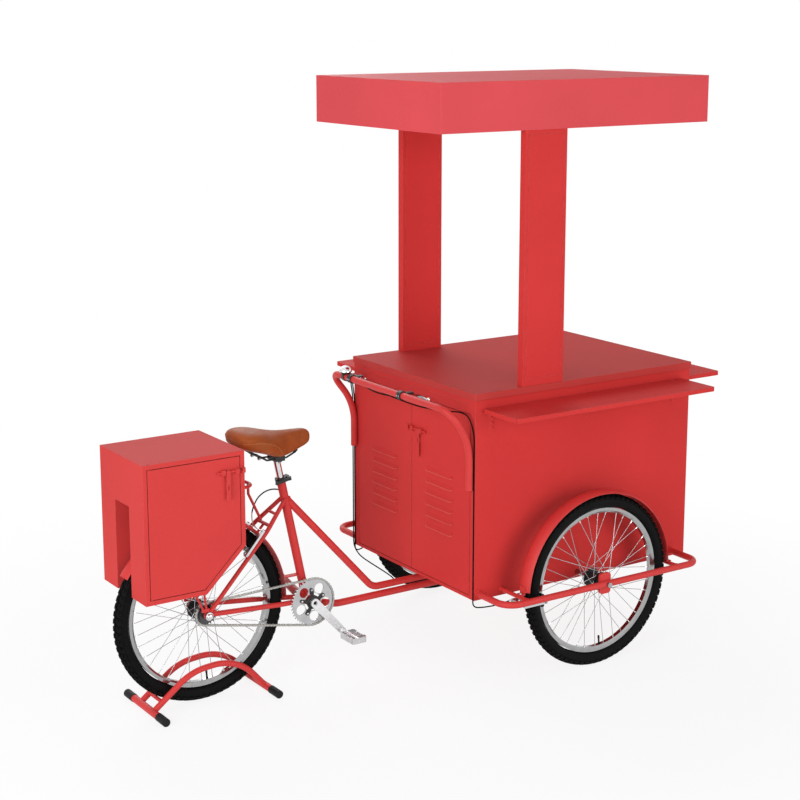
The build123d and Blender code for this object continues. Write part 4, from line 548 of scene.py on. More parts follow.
AXLE_Z = 333.5
WHEELBASE = 1400.0
GUARD_Y = 585.0
GUARD_ENDS_X = (934.0, 1872.0)
GUARD_RADIUS = 0.0125
GUARD_BEAD = 0.0028
BRACE_OFFSET = 362.0
BRACE_RADIUS = 0.008
BRACE_BEAD = 0.0024
WALL_TO_BEAD = 1.2
LOOP_TO_BEAD = 13.5
tube_coat = coated("red_tube_coat", RED, RED_EDGE_HIGHLIGHT, shine=0.25)
guard_welds = bmesh.new()
for side in (-1, 1):
    wall_y = side * (BOX_SIDE_Y + WALL_TO_BEAD)
    loop_y = side * (GUARD_Y - LOOP_TO_BEAD)
    for end_x in GUARD_ENDS_X:
        weld_bead(guard_welds, from_axle(end_x, wall_y, AXLE_Z), LEFTWARD, GUARD_RADIUS, GUARD_BEAD)
    for brace_x in (WHEELBASE - BRACE_OFFSET, WHEELBASE + BRACE_OFFSET):
        for end_y in (wall_y, loop_y):
            weld_bead(guard_welds, from_axle(brace_x, end_y, AXLE_Z), LEFTWARD, BRACE_RADIUS, BRACE_BEAD)
add_piece("guard_welds", guard_welds, red_coat, "cart")
give_finish(tube_coat, "wheel_guards", "front_fenders")


# Wheels: rubber tyres with a knobbly tread on alloy rims darkened to grey as painted shade, laced to black
# hubs with plated spokes.
# Each tyre is a moulded carcass with staggered centre blocks, shoulder blocks and edge blocks on both sides.

def wheel_spot(centre, radius, angle, y):
    """A point on a wheel: distance from the axle, angle round it, and place along it."""
    return centre + Vector((radius * cos(angle), y, radius * sin(angle)))


TYRE_SECTION = 0.028
TYRE_CENTRE = 0.3055
CARCASS_OUTER = 0.0238
CARCASS_INNER = 0.0210
CARCASS_EDGE = 156
OUTER_STEP = 12
INNER_STEP = 24
CARCASS_STEPS = 132
WALL_SWELL = 0.72
RIB_TURNS = (96, 120, 144)
RIB_HEIGHT = 0.0007
TREAD_STEPS = 76
TREAD_ROOT = 0.001
TREAD_DRAFTS = (1.12, 0.9)
TREAD_CORNERS = ((-1, -1), (1, -1), (1, 1), (-1, 1))
TREAD_ROWS = [
    # angle round the section, half its width, half length along the tread, shift along the tread, skew
    (11.0, 7.5, 0.0088, 0.0, 0.0022),
    (-11.0, 7.5, 0.0088, 0.5, -0.0022),
    (35.0, 8.0, 0.0068, 0.25, 0.0),
    (-35.0, 8.0, 0.0068, 0.75, 0.0),
    (60.0, 8.5, 0.0092, 0.5, 0.0),
    (-60.0, 8.5, 0.0092, 0.0, 0.0),
]


def section_spot(centre, turn, reach, angle):
    """A point on the tyre's section, turned from the tread's middle: round above, fuller down the walls."""
    across = sin(radians(turn))
    if abs(turn) > 90:
        across = abs(across) ** WALL_SWELL * (1 if turn > 0 else -1)
    return wheel_spot(centre, TYRE_CENTRE + reach * cos(radians(turn)), angle, reach * across)


def tyre_work(centre):
    """Carcass with fine ribs on its walls, and the blocks of its tread."""
    work = bmesh.new()
    profile = []
    for turn in range(-CARCASS_EDGE, CARCASS_EDGE + 1, OUTER_STEP):
        rib = RIB_HEIGHT if abs(turn) in RIB_TURNS else 0.0
        profile.append((turn, CARCASS_OUTER + rib))
    for turn in range(CARCASS_EDGE, -CARCASS_EDGE - 1, -INNER_STEP):
        profile.append((turn, CARCASS_INNER))
    rings = []
    for step in range(CARCASS_STEPS):
        angle = 2 * pi * step / CARCASS_STEPS
        rings.append([work.verts.new(section_spot(centre, turn, reach, angle)) for turn, reach in profile])
    ring_skin(work, rings)
    for step in range(TREAD_STEPS):
        for turn, half_turn, half_length, shift, skew in TREAD_ROWS:
            angle = 2 * pi * (step + shift) / TREAD_STEPS
            half_angle = half_length / (TYRE_CENTRE + TYRE_SECTION)
            lean = skew / (TYRE_CENTRE + TYRE_SECTION)
            rows = []
            for reach, draft in zip((CARCASS_OUTER - TREAD_ROOT, TYRE_SECTION), TREAD_DRAFTS):
                row = []
                for side, along in TREAD_CORNERS:
                    spot_turn = turn + side * half_turn * draft
                    spot_angle = angle + along * half_angle * draft + side * lean
                    row.append(work.verts.new(section_spot(centre, spot_turn, reach, spot_angle)))
                rows.append(row)
            closed_skin(work, rows)
    return work


DUST = (0.09, 0.085, 0.08)
SCUFF_NOISE = (38.0, 5.0)
SCUFF_SPREAD = (0.45, 0.75)
SCUFF_ROUGHNESS = (0.55, 0.85)
GRAIN_NOISE = (1300.0, 2.0)
grain_group, grain_in, grain_out = shader_group(
    "moulded_grain",
    [("Colour", "NodeSocketColor", (0.02, 0.02, 0.02, 1.0)), ("Dust", "NodeSocketFloat", 0.3)],
    [("Colour", "NodeSocketColor"), ("Roughness", "NodeSocketFloat"), ("Height", "NodeSocketFloat")],
)
scuff = remap(grain_group, place_noise(grain_group, SCUFF_NOISE), SCUFF_SPREAD, FULL_RANGE)
dusting = product(grain_group, scuff, grain_in.outputs["Dust"])
dusted = mixed(grain_group, dusting, grain_in.outputs["Colour"], DUST)
grain_group.links.new(dusted, grain_out.inputs["Colour"])
grain_group.links.new(remap(grain_group, scuff, FULL_RANGE, SCUFF_ROUGHNESS), grain_out.inputs["Roughness"])
grain_group.links.new(place_noise(grain_group, GRAIN_NOISE), grain_out.inputs["Height"])


def moulded(name, colour, dust, relief, shine=0.16):
    """Rubber or plastic from a mould, with a fine grain and a little dust."""
    material, tree, shader = new_material(name)
    shader.inputs["Specular IOR Level"].default_value = shine
    grain = use_group(tree, grain_group, {"Colour": colour, "Dust": dust})
    lead_surface(tree, grain, shader)
    bump(tree, shader, grain.outputs["Height"], relief)
    return material


SMUDGE_NOISE = (46.0, 4.0)
SMUDGE_SPREAD = (0.4, 0.7)
TARNISH = (1.0, 0.86)
METAL_NOISE = (800.0, 3.0)
METAL_DEPTH = 0.00008
metal_group, metal_in, metal_out = shader_group(
    "worked_metal",
    [
        ("Colour", "NodeSocketColor", (0.7, 0.7, 0.7, 1.0)), ("Polished", "NodeSocketFloat", 0.12),
        ("Handled", "NodeSocketFloat", 0.3),
    ],
    [("Colour", "NodeSocketColor"), ("Roughness", "NodeSocketFloat"), ("Height", "NodeSocketFloat")],
)
smudge = remap(metal_group, place_noise(metal_group, SMUDGE_NOISE), SMUDGE_SPREAD, FULL_RANGE)
spread = metal_group.nodes.new("ShaderNodeMix")
metal_group.links.new(smudge, spread.inputs["Factor"])
metal_group.links.new(metal_in.outputs["Polished"], spread.inputs["A"])
metal_group.links.new(metal_in.outputs["Handled"], spread.inputs["B"])
metal_group.links.new(spread.outputs["Result"], metal_out.inputs["Roughness"])
tarnish = remap(metal_group, smudge, FULL_RANGE, TARNISH)
metal_group.links.new(tinted(metal_group, metal_in.outputs["Colour"], tarnish), metal_out.inputs["Colour"])
metal_group.links.new(place_noise(metal_group, METAL_NOISE), metal_out.inputs["Height"])


def metal(name, colour, polished, handled, relief=0.3):
    """Bare or plated metal: how rough it is where polished, and where handled, and its relief."""
    material, tree, shader = new_material(name)
    shader.inputs["Metallic"].default_value = 1.0
    worked = use_group(tree, metal_group, {"Colour": colour, "Polished": polished, "Handled": handled})
    lead_surface(tree, worked, shader)
    bump(tree, shader, worked.outputs["Height"], METAL_DEPTH, relief)
    return material


tyre_rubber = moulded("tyre_rubber", (0.003, 0.003, 0.003), dust=0.04, relief=0.0004, shine=0.07)
black_rubber = moulded("black_rubber", (0.008, 0.008, 0.008), dust=0.15, relief=0.0003)
# The rims' alloy is darkened to a grey, painted shade.
shaded_rim_alloy = metal("shaded_rim_alloy", (0.40, 0.40, 0.405), polished=0.12, handled=0.24, relief=0.1)
nickel = metal("bright_nickel", (0.86, 0.85, 0.83), polished=0.08, handled=0.2)
plated_steel = metal("plated_steel", (0.42, 0.42, 0.43), polished=0.16, handled=0.32)
# Its grey edge colour is a painted highlight along the black edges.
black_alloy = coated("black_alloy", (0.012, 0.012, 0.013), (0.10, 0.10, 0.10), shine=0.4)

SPOKE_COUNT = 36
SPOKE_LACE = radians(60.0)
SPOKE_HUB_RADIUS = 0.03755
SPOKE_HUB_OFFSET = 0.028
SPOKE_CROSS = 0.0032
RIM_BED = 0.2625
RIM_OFFSET = 0.003


def spoke_ends(index):
    """Where spoke number index meets the rim and the hub, seen from the wheel's centre."""
    side = 1 if index % 2 == 0 else -1
    lead = 1 if (index // 2) % 2 == 0 else -1
    rim_angle = 2 * pi * index / SPOKE_COUNT
    hub_angle = rim_angle + lead * SPOKE_LACE
    hub_y = side * SPOKE_HUB_OFFSET + lead * SPOKE_CROSS
    rim_end = wheel_spot(Vector(), RIM_BED, rim_angle, side * RIM_OFFSET)
    hub_end = wheel_spot(Vector(), SPOKE_HUB_RADIUS, hub_angle, hub_y)
    return rim_end, hub_end


NIPPLE_LENGTH = 0.0125
NIPPLE_SIDES = 8
NIPPLE_STATIONS = [(0.0, 0.0028), (0.25, 0.0028), (0.27, 0.0021), (0.9, 0.0019), (1.0, 0.0013)]
VALVE_ANGLE = radians(275.0)
VALVE_LENGTH = 0.034
VALVE_SIDES = 12
VALVE_STATIONS = [
    (0.0, 0.0045), (0.14, 0.0045), (0.16, 0.0034), (0.62, 0.0034), (0.64, 0.0042), (0.96, 0.0040),
    (1.0, 0.0030),
]
for wheel in ("rear", "front_right", "front_left"):
    body = wheel + "_wheel"
    centre = middle_of(wheel + "_rim")
    tyre = add_piece(wheel + "_knobbly_tyre", tyre_work(centre), tyre_rubber, body)
    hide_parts(wheel + "_tyre")
    nipples = bmesh.new()
    for index in range(SPOKE_COUNT):
        rim_end, hub_end = spoke_ends(index)
        inward = (hub_end - rim_end).normalized()
        nipple_foot = centre + rim_end
        nipple_tip = nipple_foot + inward * NIPPLE_LENGTH
        turned_bar(nipples, nipple_foot, nipple_tip, NIPPLE_STATIONS, NIPPLE_SIDES)
    add_piece(wheel + "_nipples", nipples, nickel, body)
    valve = bmesh.new()
    valve_foot = wheel_spot(centre, RIM_BED, VALVE_ANGLE, 0.0)
    valve_tip = wheel_spot(centre, RIM_BED - VALVE_LENGTH, VALVE_ANGLE, 0.0)
    turned_bar(valve, valve_foot, valve_tip, VALVE_STATIONS, VALVE_SIDES)
    add_piece(wheel + "_valve", valve, black_rubber, body)
    give_finish(shaded_rim_alloy, wheel + "_rim")
    give_finish(plated_steel, wheel + "_spokes")
    give_finish(black_alloy, wheel + "_hub")


# Front axles and brakes: plated axles through the guards, and an alloy caliper behind each front wheel.
# A grooved rubber block on each caliper arm faces the rim, and small bolts hold the mudguards' ends.

satin_alloy = metal("satin_alloy", (0.62, 0.62, 0.63), polished=0.24, handled=0.4)
give_finish(plated_steel, "front_axles", "king_pin")
give_finish(satin_alloy, "front_brakes")

FRONT_WHEEL_Y = 522.0
FENDER_BOLT_INSET = 0.012
FENDER_BOLT_RISE = 11.4
FENDER_BOLT_RADIUS = 0.0046
FENDER_BOLT_HEIGHT = 0.0034
fender_bolts = bmesh.new()
for side in (-1, 1):
    for offset_x in (-BRACE_OFFSET, BRACE_OFFSET):
        bolt_x = WHEELBASE + offset_x - offset_x * FENDER_BOLT_INSET
        bolt_seat = from_axle(bolt_x, side * FRONT_WHEEL_Y, AXLE_Z + FENDER_BOLT_RISE)
        hex_bolt(fender_bolts, bolt_seat, UPWARD, FENDER_BOLT_RADIUS, FENDER_BOLT_HEIGHT)
add_piece("fender_bolts", fender_bolts, plated_steel, "cart")

BLOCK_HALF_WIDE = 0.0068
BLOCK_HALF_DEEP = 0.0051
BLOCK_SECTION = [(-1, -0.7), (-0.7, -1), (0.7, -1), (1, -0.7), (1, 0.7), (0.7, 1), (-0.7, 1), (-1, 0.7)]
BLOCK_END = [(1.0, 0.72), (0.92, 0.96)]
GROOVE_PLACES = (-0.5, 0.0, 0.5)
GROOVE_HALF = 0.0016
GROOVE = [(-2, 1.0), (-1, 0.86), (1, 0.86), (2, 1.0)]


def grooved_block(work, centre, long_way, wide_way, half_long):
    """Brake block: a rubber bar with rounded ends and three cross grooves."""
    stations = [(-half_long * share, part) for share, part in BLOCK_END]
    for share in GROOVE_PLACES:
        stations += [(half_long * share + step * GROOVE_HALF, part) for step, part in GROOVE]
    stations += [(half_long * share, part) for share, part in reversed(BLOCK_END)]
    rows = []
    for place, part in stations:
        row = []
        for wide, deep in BLOCK_SECTION:
            across = wide_way * wide * BLOCK_HALF_WIDE * part
            inward = LEFTWARD * deep * BLOCK_HALF_DEEP * part
            row.append(work.verts.new(centre + long_way * place + across + inward))
        rows.append(row)
    closed_skin(work, rows)


PAD_RADIUS = 272.5
PAD_Y = 21.0
PAD_HALF_LENGTH = 0.024
CALIPER_Z = 309.5
CALIPER_FACE_Y = 44.0
BRAKE_BOLT_RADIUS = 0.0042
CALIPER_BOLT_HEIGHT = 0.004
front_pads = bmesh.new()
caliper_bolts = bmesh.new()
for side in (-1, 1):
    for cheek in (-1, 1):
        wheel_y = side * FRONT_WHEEL_Y
        pad_middle = from_axle(WHEELBASE - PAD_RADIUS, wheel_y + cheek * PAD_Y, CALIPER_Z)
        grooved_block(front_pads, pad_middle, UPWARD, FORWARD, PAD_HALF_LENGTH)
        seat = from_axle(WHEELBASE - PAD_RADIUS, wheel_y + cheek * CALIPER_FACE_Y, CALIPER_Z)
        hex_bolt(caliper_bolts, seat, LEFTWARD * cheek, BRAKE_BOLT_RADIUS, CALIPER_BOLT_HEIGHT)
add_piece("front_brake_blocks", front_pads, black_rubber, "cart")
add_piece("caliper_bolts", caliper_bolts, plated_steel, "cart")


# Cycle frame: round steel tubes welded at the bottom bracket, the seat tube and the steering head.
# It carries the rear mudguard, and its welds show as beads under the red coat.

give_finish(tube_coat, "frame_main", "rear_triangle", "rear_fender")
SEAT_TUBE_TOP = from_axle(338.0, 0.0, 772.0)
SEAT_TUBE_RADIUS = 0.016
SHELL_REACH = 0.0205
UPPER_TUBE_START_Z = 0.700
UPPER_TUBE_BEND = from_axle(733.0, 0.0, 280.0)
UPPER_BEAD_REACH = 0.0215
UPPER_BEAD_LEAN = 0.45
UPPER_BEAD_RADIUS = 0.0142
HEAD_TUBE_BACK = 25.0
HEAD_BEADS_Z = (246.0, 280.0)
HEAD_BEAD_RADIUS = 0.0135
FRAME_BEAD = 0.0026
SHELL_BEAD = 0.0028
bottom_bracket = middle_of("spindle")
seat_axis = (SEAT_TUBE_TOP - bottom_bracket).normalized()
upper_start = bottom_bracket + seat_axis * ((UPPER_TUBE_START_Z - bottom_bracket.z) / seat_axis.z)
upper_axis = (UPPER_TUBE_BEND - upper_start).normalized()
frame_welds = bmesh.new()
weld_bead(frame_welds, bottom_bracket + seat_axis * SHELL_REACH, seat_axis, SEAT_TUBE_RADIUS, SHELL_BEAD)
upper_bead = upper_start + upper_axis * UPPER_BEAD_REACH
weld_bead(frame_welds, upper_bead, upper_axis + seat_axis * UPPER_BEAD_LEAN, UPPER_BEAD_RADIUS, FRAME_BEAD)
for head_z in HEAD_BEADS_Z:
    head_bead = from_axle(WHEELBASE - HEAD_TUBE_BACK, 0.0, head_z)
    weld_bead(frame_welds, head_bead, FORWARD, HEAD_BEAD_RADIUS, FRAME_BEAD)
add_piece("frame_welds", frame_welds, red_coat, "rear_frame")


# Rear box: a folded sheet box that straddles the back wheel on a looped tube carrier, with a side door.
# Its bolt and its hinge pins are painted with it, in a coat a little paler than the cart's.
REAR_BOX_RED = (0.59, 0.052, 0.049)
rear_box_coat = coated("rear_box_powder_coat", REAR_BOX_RED, RED_EDGE_HIGHLIGHT, shine=0.03)
give_finish(rear_box_coat, "rear_box", "rear_box_door", "rear_box_bolt")
give_finish(tube_coat, "box_carrier")


# Chain drive: a plated chainring bolted to a black spider, alloy cranks, cage pedals and a roller chain.
# The chain is stamped side plates, riveted in pairs round rollers, and domed caps close the rear axle's ends.

chrome = metal("chrome", (0.74, 0.74, 0.75), polished=0.09, handled=0.16, relief=0.04)
oiled_steel = metal("oiled_steel", (0.42, 0.41, 0.39), polished=0.22, handled=0.42)
dark_steel = metal("dark_steel", (0.09, 0.09, 0.095), polished=0.25, handled=0.42)
ring_steel = metal("ring_steel", (0.56, 0.56, 0.57), polished=0.16, handled=0.3)
crank_alloy = metal("crank_alloy", (0.80, 0.80, 0.81), polished=0.34, handled=0.44, relief=0.04)
give_finish(ring_steel, "chainring")
give_finish(crank_alloy, "crank_arms")
give_finish(black_alloy, "crank_spider")
give_finish(plated_steel, "spindle", "rear_axle")
give_finish(dark_steel, "freewheel")
give_finish(satin_alloy, "pedal_right", "pedal_left")

CHAIN_PITCH = 0.0127
CHAIN_LINKS = 102
CHAINRING_TEETH = 44
SPROCKET_TEETH = 20
CHAINRING_RADIUS = CHAIN_PITCH / (2 * sin(pi / CHAINRING_TEETH))
SPROCKET_RADIUS = CHAIN_PITCH / (2 * sin(pi / SPROCKET_TEETH))
CHAIN_Y = -0.048
rear_centre = middle_of("rear_rim")


def on_chainring(angle):
    """A point on the chainring's pitch circle."""
    return wheel_spot(bottom_bracket, CHAINRING_RADIUS, angle, 0)


def on_sprocket(angle):
    """A point on the sprocket's pitch circle."""
    return wheel_spot(rear_centre, SPROCKET_RADIUS, angle, 0)


def chain_rivets():
    """Rivet centres round the loop, starting where the upper run leaves the sprocket."""
    line = bottom_bracket - rear_centre
    distance = sqrt(line.x ** 2 + line.z ** 2)
    heading = atan2(line.z, line.x)
    spread_angle = pi - acos((CHAINRING_RADIUS - SPROCKET_RADIUS) / distance)
    run = sqrt(distance ** 2 - (CHAINRING_RADIUS - SPROCKET_RADIUS) ** 2)
    top = heading + spread_angle
    bottom = heading - spread_angle
    front_arc = 2 * spread_angle * CHAINRING_RADIUS
    rear_arc = (2 * pi - 2 * spread_angle) * SPROCKET_RADIUS
    pitch = (2 * run + front_arc + rear_arc) / CHAIN_LINKS
    spots = []
    for index in range(CHAIN_LINKS):
        way = index * pitch
        if way < run:
            spot = on_sprocket(top).lerp(on_chainring(top), way / run)
        elif way < run + front_arc:
            spot = on_chainring(top - (way - run) / CHAINRING_RADIUS)
        elif way < 2 * run + front_arc:
            spot = on_chainring(bottom).lerp(on_sprocket(bottom), (way - run - front_arc) / run)
        else:
            spot = on_sprocket(bottom - (way - 2 * run - front_arc) / SPROCKET_RADIUS)
        spots.append(Vector((spot.x, CHAIN_Y, spot.z)))
    return spots


PLATE_END = 0.0042
PLATE_END_STEPS = 6
PLATE_WAIST = 0.0031
PLATE_SHEET = 0.00105
INNER_FACE = 0.0023
ROLLER_STATIONS = [(0.0, 0.0036), (1.0, 0.0036)]
ROLLER_SIDES = 12
ROLLER_OVERLAP = 0.0003
RIVET_STATIONS = [(0.0, 0.0012), (0.04, 0.0018), (0.96, 0.0018), (1.0, 0.0012)]
RIVET_SIDES = 8
RIVET_STAND = 0.0004


def link_plate(work, start, end, inner_y, outer_y):
    """One stamped side plate, waisted between its two round ends."""
    along = (end - start).normalized()
    upward = Vector((-along.z, 0, along.x))
    outline = []
    for centre, first, waist in ((end, -90, 1), (start, 90, -1)):
        for step in range(PLATE_END_STEPS + 1):
            angle = radians(first + 180 / PLATE_END_STEPS * step)
            outline.append(centre + (along * cos(angle) + upward * sin(angle)) * PLATE_END)
        outline.append((start + end) / 2 + upward * PLATE_WAIST * waist)
    near = [work.verts.new(spot + LEFTWARD * inner_y) for spot in outline]
    far = [work.verts.new(spot + LEFTWARD * outer_y) for spot in outline]
    closed_skin(work, [near, far])


rivets = chain_rivets()
chain_work = bmesh.new()
for index, here in enumerate(rivets):
    after = rivets[(index + 1) % CHAIN_LINKS]
    inner_y = INNER_FACE if index % 2 else INNER_FACE + PLATE_SHEET
    for side in (-1, 1):
        link_plate(chain_work, here, after, side * inner_y, side * (inner_y + PLATE_SHEET))
    reach = LEFTWARD * (INNER_FACE + ROLLER_OVERLAP)
    turned_bar(chain_work, here - reach, here + reach, ROLLER_STATIONS, ROLLER_SIDES)
    tip = LEFTWARD * (INNER_FACE + 2 * PLATE_SHEET + RIVET_STAND)
    turned_bar(chain_work, here - tip, here + tip, RIVET_STATIONS, RIVET_SIDES)
chain_piece = add_piece("roller_chain", chain_work, oiled_steel, "rear_frame", sharp_angle=40)
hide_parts("chain")

SPIDER_LEGS = 5
SPIDER_FACE_Y = -0.0545
DRIVE_BOLT_REACH = 0.047
DRIVE_BOLT_RADIUS = 0.0048
DRIVE_BOLT_HEIGHT = 0.0022
CRANK_ANGLE = radians(-48.0)
drive_bolts = bmesh.new()
# The crank covers the bolt of the leg behind it.
for leg in range(1, SPIDER_LEGS):
    angle = CRANK_ANGLE + 2 * pi * leg / SPIDER_LEGS
    seat = wheel_spot(bottom_bracket, DRIVE_BOLT_REACH, angle, SPIDER_FACE_Y)
    pan_screw(drive_bolts, seat, -LEFTWARD, DRIVE_BOLT_RADIUS, DRIVE_BOLT_HEIGHT)
add_piece("drive_bolts", drive_bolts, plated_steel, "crank")

# A thin black square sits on each crank's face, over the spindle's end.
CRANK_FACE_Y = 0.0660
SQUARE_RADIUS = 0.0078
SQUARE_HEIGHT = 0.0012
SQUARE_SIDES = 4
SQUARE_STATIONS = [(0.0, 1.0), (0.7, 1.0), (1.0, 0.9)]
crank_dark_squares = bmesh.new()
for side in (-1, 1):
    square_seat = bottom_bracket + LEFTWARD * side * CRANK_FACE_Y
    square_face = square_seat + LEFTWARD * side * SQUARE_HEIGHT
    turned_bar(crank_dark_squares, square_seat, square_face, scaled(SQUARE_STATIONS, SQUARE_RADIUS), SQUARE_SIDES)
add_piece("crank_dark_squares", crank_dark_squares, black_rubber, "crank")

AXLE_NUT_FACE = 0.0755
CAP_LENGTH = 0.013
CAP_SIDES = 24
CAP_STATIONS = [
    (0.0, 0.0150), (0.18, 0.0150), (0.22, 0.0118), (0.62, 0.0116), (0.8, 0.0100), (0.93, 0.0068),
    (1.0, 0.0030),
]
axle_caps = bmesh.new()
for side in (-1, 1):
    cap_foot = rear_centre + LEFTWARD * side * AXLE_NUT_FACE
    turned_bar(axle_caps, cap_foot, cap_foot + LEFTWARD * side * CAP_LENGTH, CAP_STATIONS, CAP_SIDES)
add_piece("axle_caps", axle_caps, chrome, "rear_frame")


# Saddle: a foam pad under tan leather, wide at the tail, dipped in the middle and round at the nose.
# The cover is one stretched piece, with a piped seam and a row of stitches round the tail.

SADDLE_ROWS = [
    # x, half width, lowest edge, rise of the widest line, rise of the top, hollow underneath, in millimetres
    (148.0, 44.0, 926.0, 14.0, 30.0, 0.0),
    (151.0, 68.0, 916.0, 24.0, 48.0, 0.0),
    (164.0, 89.0, 908.0, 34.0, 66.0, 0.0),
    (190.0, 101.0, 899.0, 40.0, 77.0, 0.0),
    (226.0, 107.0, 890.0, 42.0, 83.0, 0.0),
    (276.0, 89.0, 866.0, 50.0, 93.0, 10.0),
    (326.0, 57.0, 850.0, 58.0, 99.0, 15.0),
    (376.0, 39.0, 862.0, 54.0, 86.0, 10.0),
    (416.0, 32.0, 877.0, 44.0, 70.0, 0.0),
    (440.0, 27.0, 886.0, 34.0, 59.0, 0.0),
    (453.0, 19.0, 895.0, 24.0, 42.0, 0.0),
    (457.0, 10.0, 903.0, 12.0, 22.0, 0.0),
]
SADDLE_POINTS = 24
SADDLE_TUCK = 0.90
SADDLE_SMOOTHING = 2
SKIRT_SHARE = 0.6
WIDTH_POWER = 0.82
CROWN_POWER = 0.95
SKIRT_POWER = 0.4


def saddle_ring(work, x, half, low, widest, top, hollow):
    """One closed section of the saddle: crowned above its widest line, and hollow between its skirts."""
    ring = []
    for step in range(SADDLE_POINTS):
        angle = 2 * pi * step / SADDLE_POINTS
        across = abs(cos(angle)) ** WIDTH_POWER * (1 if cos(angle) >= 0 else -1)
        lift = abs(sin(angle))
        if sin(angle) >= 0:
            z = low + widest + (top - widest) * lift ** CROWN_POWER
            y = half * across
        else:
            z = low + widest - widest * lift ** SKIRT_POWER
            y = half * across * (1 - (1 - SADDLE_TUCK) * lift)
            if abs(across) < SKIRT_SHARE:
                z += hollow
        ring.append(work.verts.new(from_axle(x, y, z)))
    return ring


def plain_copy(thing):
    """An object's shape as a mesh of its own, with its modifiers or its curve worked out."""
    graph = bpy.context.evaluated_depsgraph_get()
    return bpy.data.meshes.new_from_object(thing.evaluated_get(graph))


saddle_work = bmesh.new()
closed_skin(saddle_work, [saddle_ring(saddle_work, *row) for row in SADDLE_ROWS])
rough_saddle = in_scene("rough_saddle", finished_mesh("rough_saddle", saddle_work, sharp_angle=180))
smoothing = rough_saddle.modifiers.new("smooth", "SUBSURF")
smoothing.levels = SADDLE_SMOOTHING
smoothing.render_levels = SADDLE_SMOOTHING
cover_mesh = plain_copy(rough_saddle)
cover_mesh.name = "saddle_cover"
bpy.data.objects.remove(rough_saddle)

HIDE_COLOUR = (0.36, 0.083, 0.019)
PORE_COLOUR = (0.23, 0.046, 0.010)
PORE_SCALE = 620.0
PORE_SPREAD = (0.25, 0.75)
PORE_SHARES = (0.0, 0.55)
PORE_WIDTH = (0.0, 0.9)
PORE_DEPTH = 0.0006
PORE_RELIEF = 0.4
MOTTLE_NOISE = (22.0, 5.0)
MOTTLE_TONES = (0.86, 1.12)
POLISH_NOISE = (30.0, 3.0)
POLISH_ROUGHNESS = (0.40, 0.56)
LEATHER_SHINE = 0.14
leather, leather_tree, leather_shader = new_material("tan_leather")
leather_shader.inputs["Specular IOR Level"].default_value = LEATHER_SHINE
pores = leather_tree.nodes.new("ShaderNodeTexVoronoi")
pores.inputs["Scale"].default_value = PORE_SCALE
leather_place = leather_tree.nodes.new("ShaderNodeTexCoord")
leather_tree.links.new(leather_place.outputs["Object"], pores.inputs["Vector"])
pore_mask = remap(leather_tree, pores.outputs["Distance"], PORE_SPREAD, PORE_SHARES)
hide = mixed(leather_tree, pore_mask, HIDE_COLOUR, PORE_COLOUR)
mottle = remap(leather_tree, place_noise(leather_tree, MOTTLE_NOISE), NOISE_SPREAD, MOTTLE_TONES)
leather_tree.links.new(tinted(leather_tree, hide, mottle), leather_shader.inputs["Base Color"])
polish = remap(leather_tree, place_noise(leather_tree, POLISH_NOISE), NOISE_SPREAD, POLISH_ROUGHNESS)
leather_tree.links.new(polish, leather_shader.inputs["Roughness"])
pore_height = remap(leather_tree, pores.outputs["Distance"], PORE_WIDTH, (1.0, 0.0))
bump(leather_tree, leather_shader, pore_height, PORE_DEPTH, PORE_RELIEF)

cover_mesh.shade_smooth()
cover_mesh.materials.append(leather)
cover = in_scene("saddle_cover", cover_mesh)
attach(cover, "seat")
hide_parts("saddle")

SEAM_GUIDE = [
    # x, distance from the middle, z: from behind the tail along one flank, down to its lowest point
    (146.0, 0.0, 944.0), (147.0, 26.0, 944.0), (153.0, 58.0, 944.0), (172.0, 88.0, 945.0),
    (206.0, 102.0, 946.0), (240.0, 101.0, 940.0), (268.0, 90.0, 928.0), (292.0, 76.0, 912.0),
    (312.0, 65.0, 892.0), (324.0, 58.0, 872.0),
]
SEAM_STEP = 5.0


def saddle_seam(drop):
    """Points on the cover along the seam, from one flank round the tail to the other, with their normals."""
    half_line = []
    for first, second in zip(SEAM_GUIDE, SEAM_GUIDE[1:]):
        steps = ceil((Vector(second) - Vector(first)).length / SEAM_STEP)
        for step in range(steps):
            x, y, z = Vector(first).lerp(Vector(second), step / steps)
            half_line.append((x, y, z - drop))
    guesses = [from_axle(x, y, z) for x, y, z in reversed(half_line)]
    guesses += [from_axle(x, -y, z) for x, y, z in half_line[1:]]
    spots = []
    for guess in guesses:
        spot, normal = cover.closest_point_on_mesh(guess)[1:3]
        spots.append((spot, normal))
    return spots


PIPING_RADIUS = 0.0016
PIPING_SIDES = 8
piping = bmesh.new()
tube_rows(piping, [spot for spot, normal in saddle_seam(0.0)], PIPING_RADIUS, PIPING_SIDES)
add_piece("saddle_piping", piping, leather, "seat")

THREAD_COLOUR = (0.50, 0.24, 0.10, 1.0)
THREAD_ROUGHNESS = 0.7
TWIST_NOISE = (900.0, 2.0)
TWIST_TONES = (0.8, 1.15)
thread, thread_tree, thread_shader = new_material("waxed_thread")
twist = remap(thread_tree, place_noise(thread_tree, TWIST_NOISE), NOISE_SPREAD, TWIST_TONES)
thread_hue = thread_tree.nodes.new("ShaderNodeRGB")
thread_hue.outputs["Color"].default_value = THREAD_COLOUR
twisted = tinted(thread_tree, thread_hue.outputs["Color"], twist)
thread_tree.links.new(twisted, thread_shader.inputs["Base Color"])
thread_shader.inputs["Roughness"].default_value = THREAD_ROUGHNESS

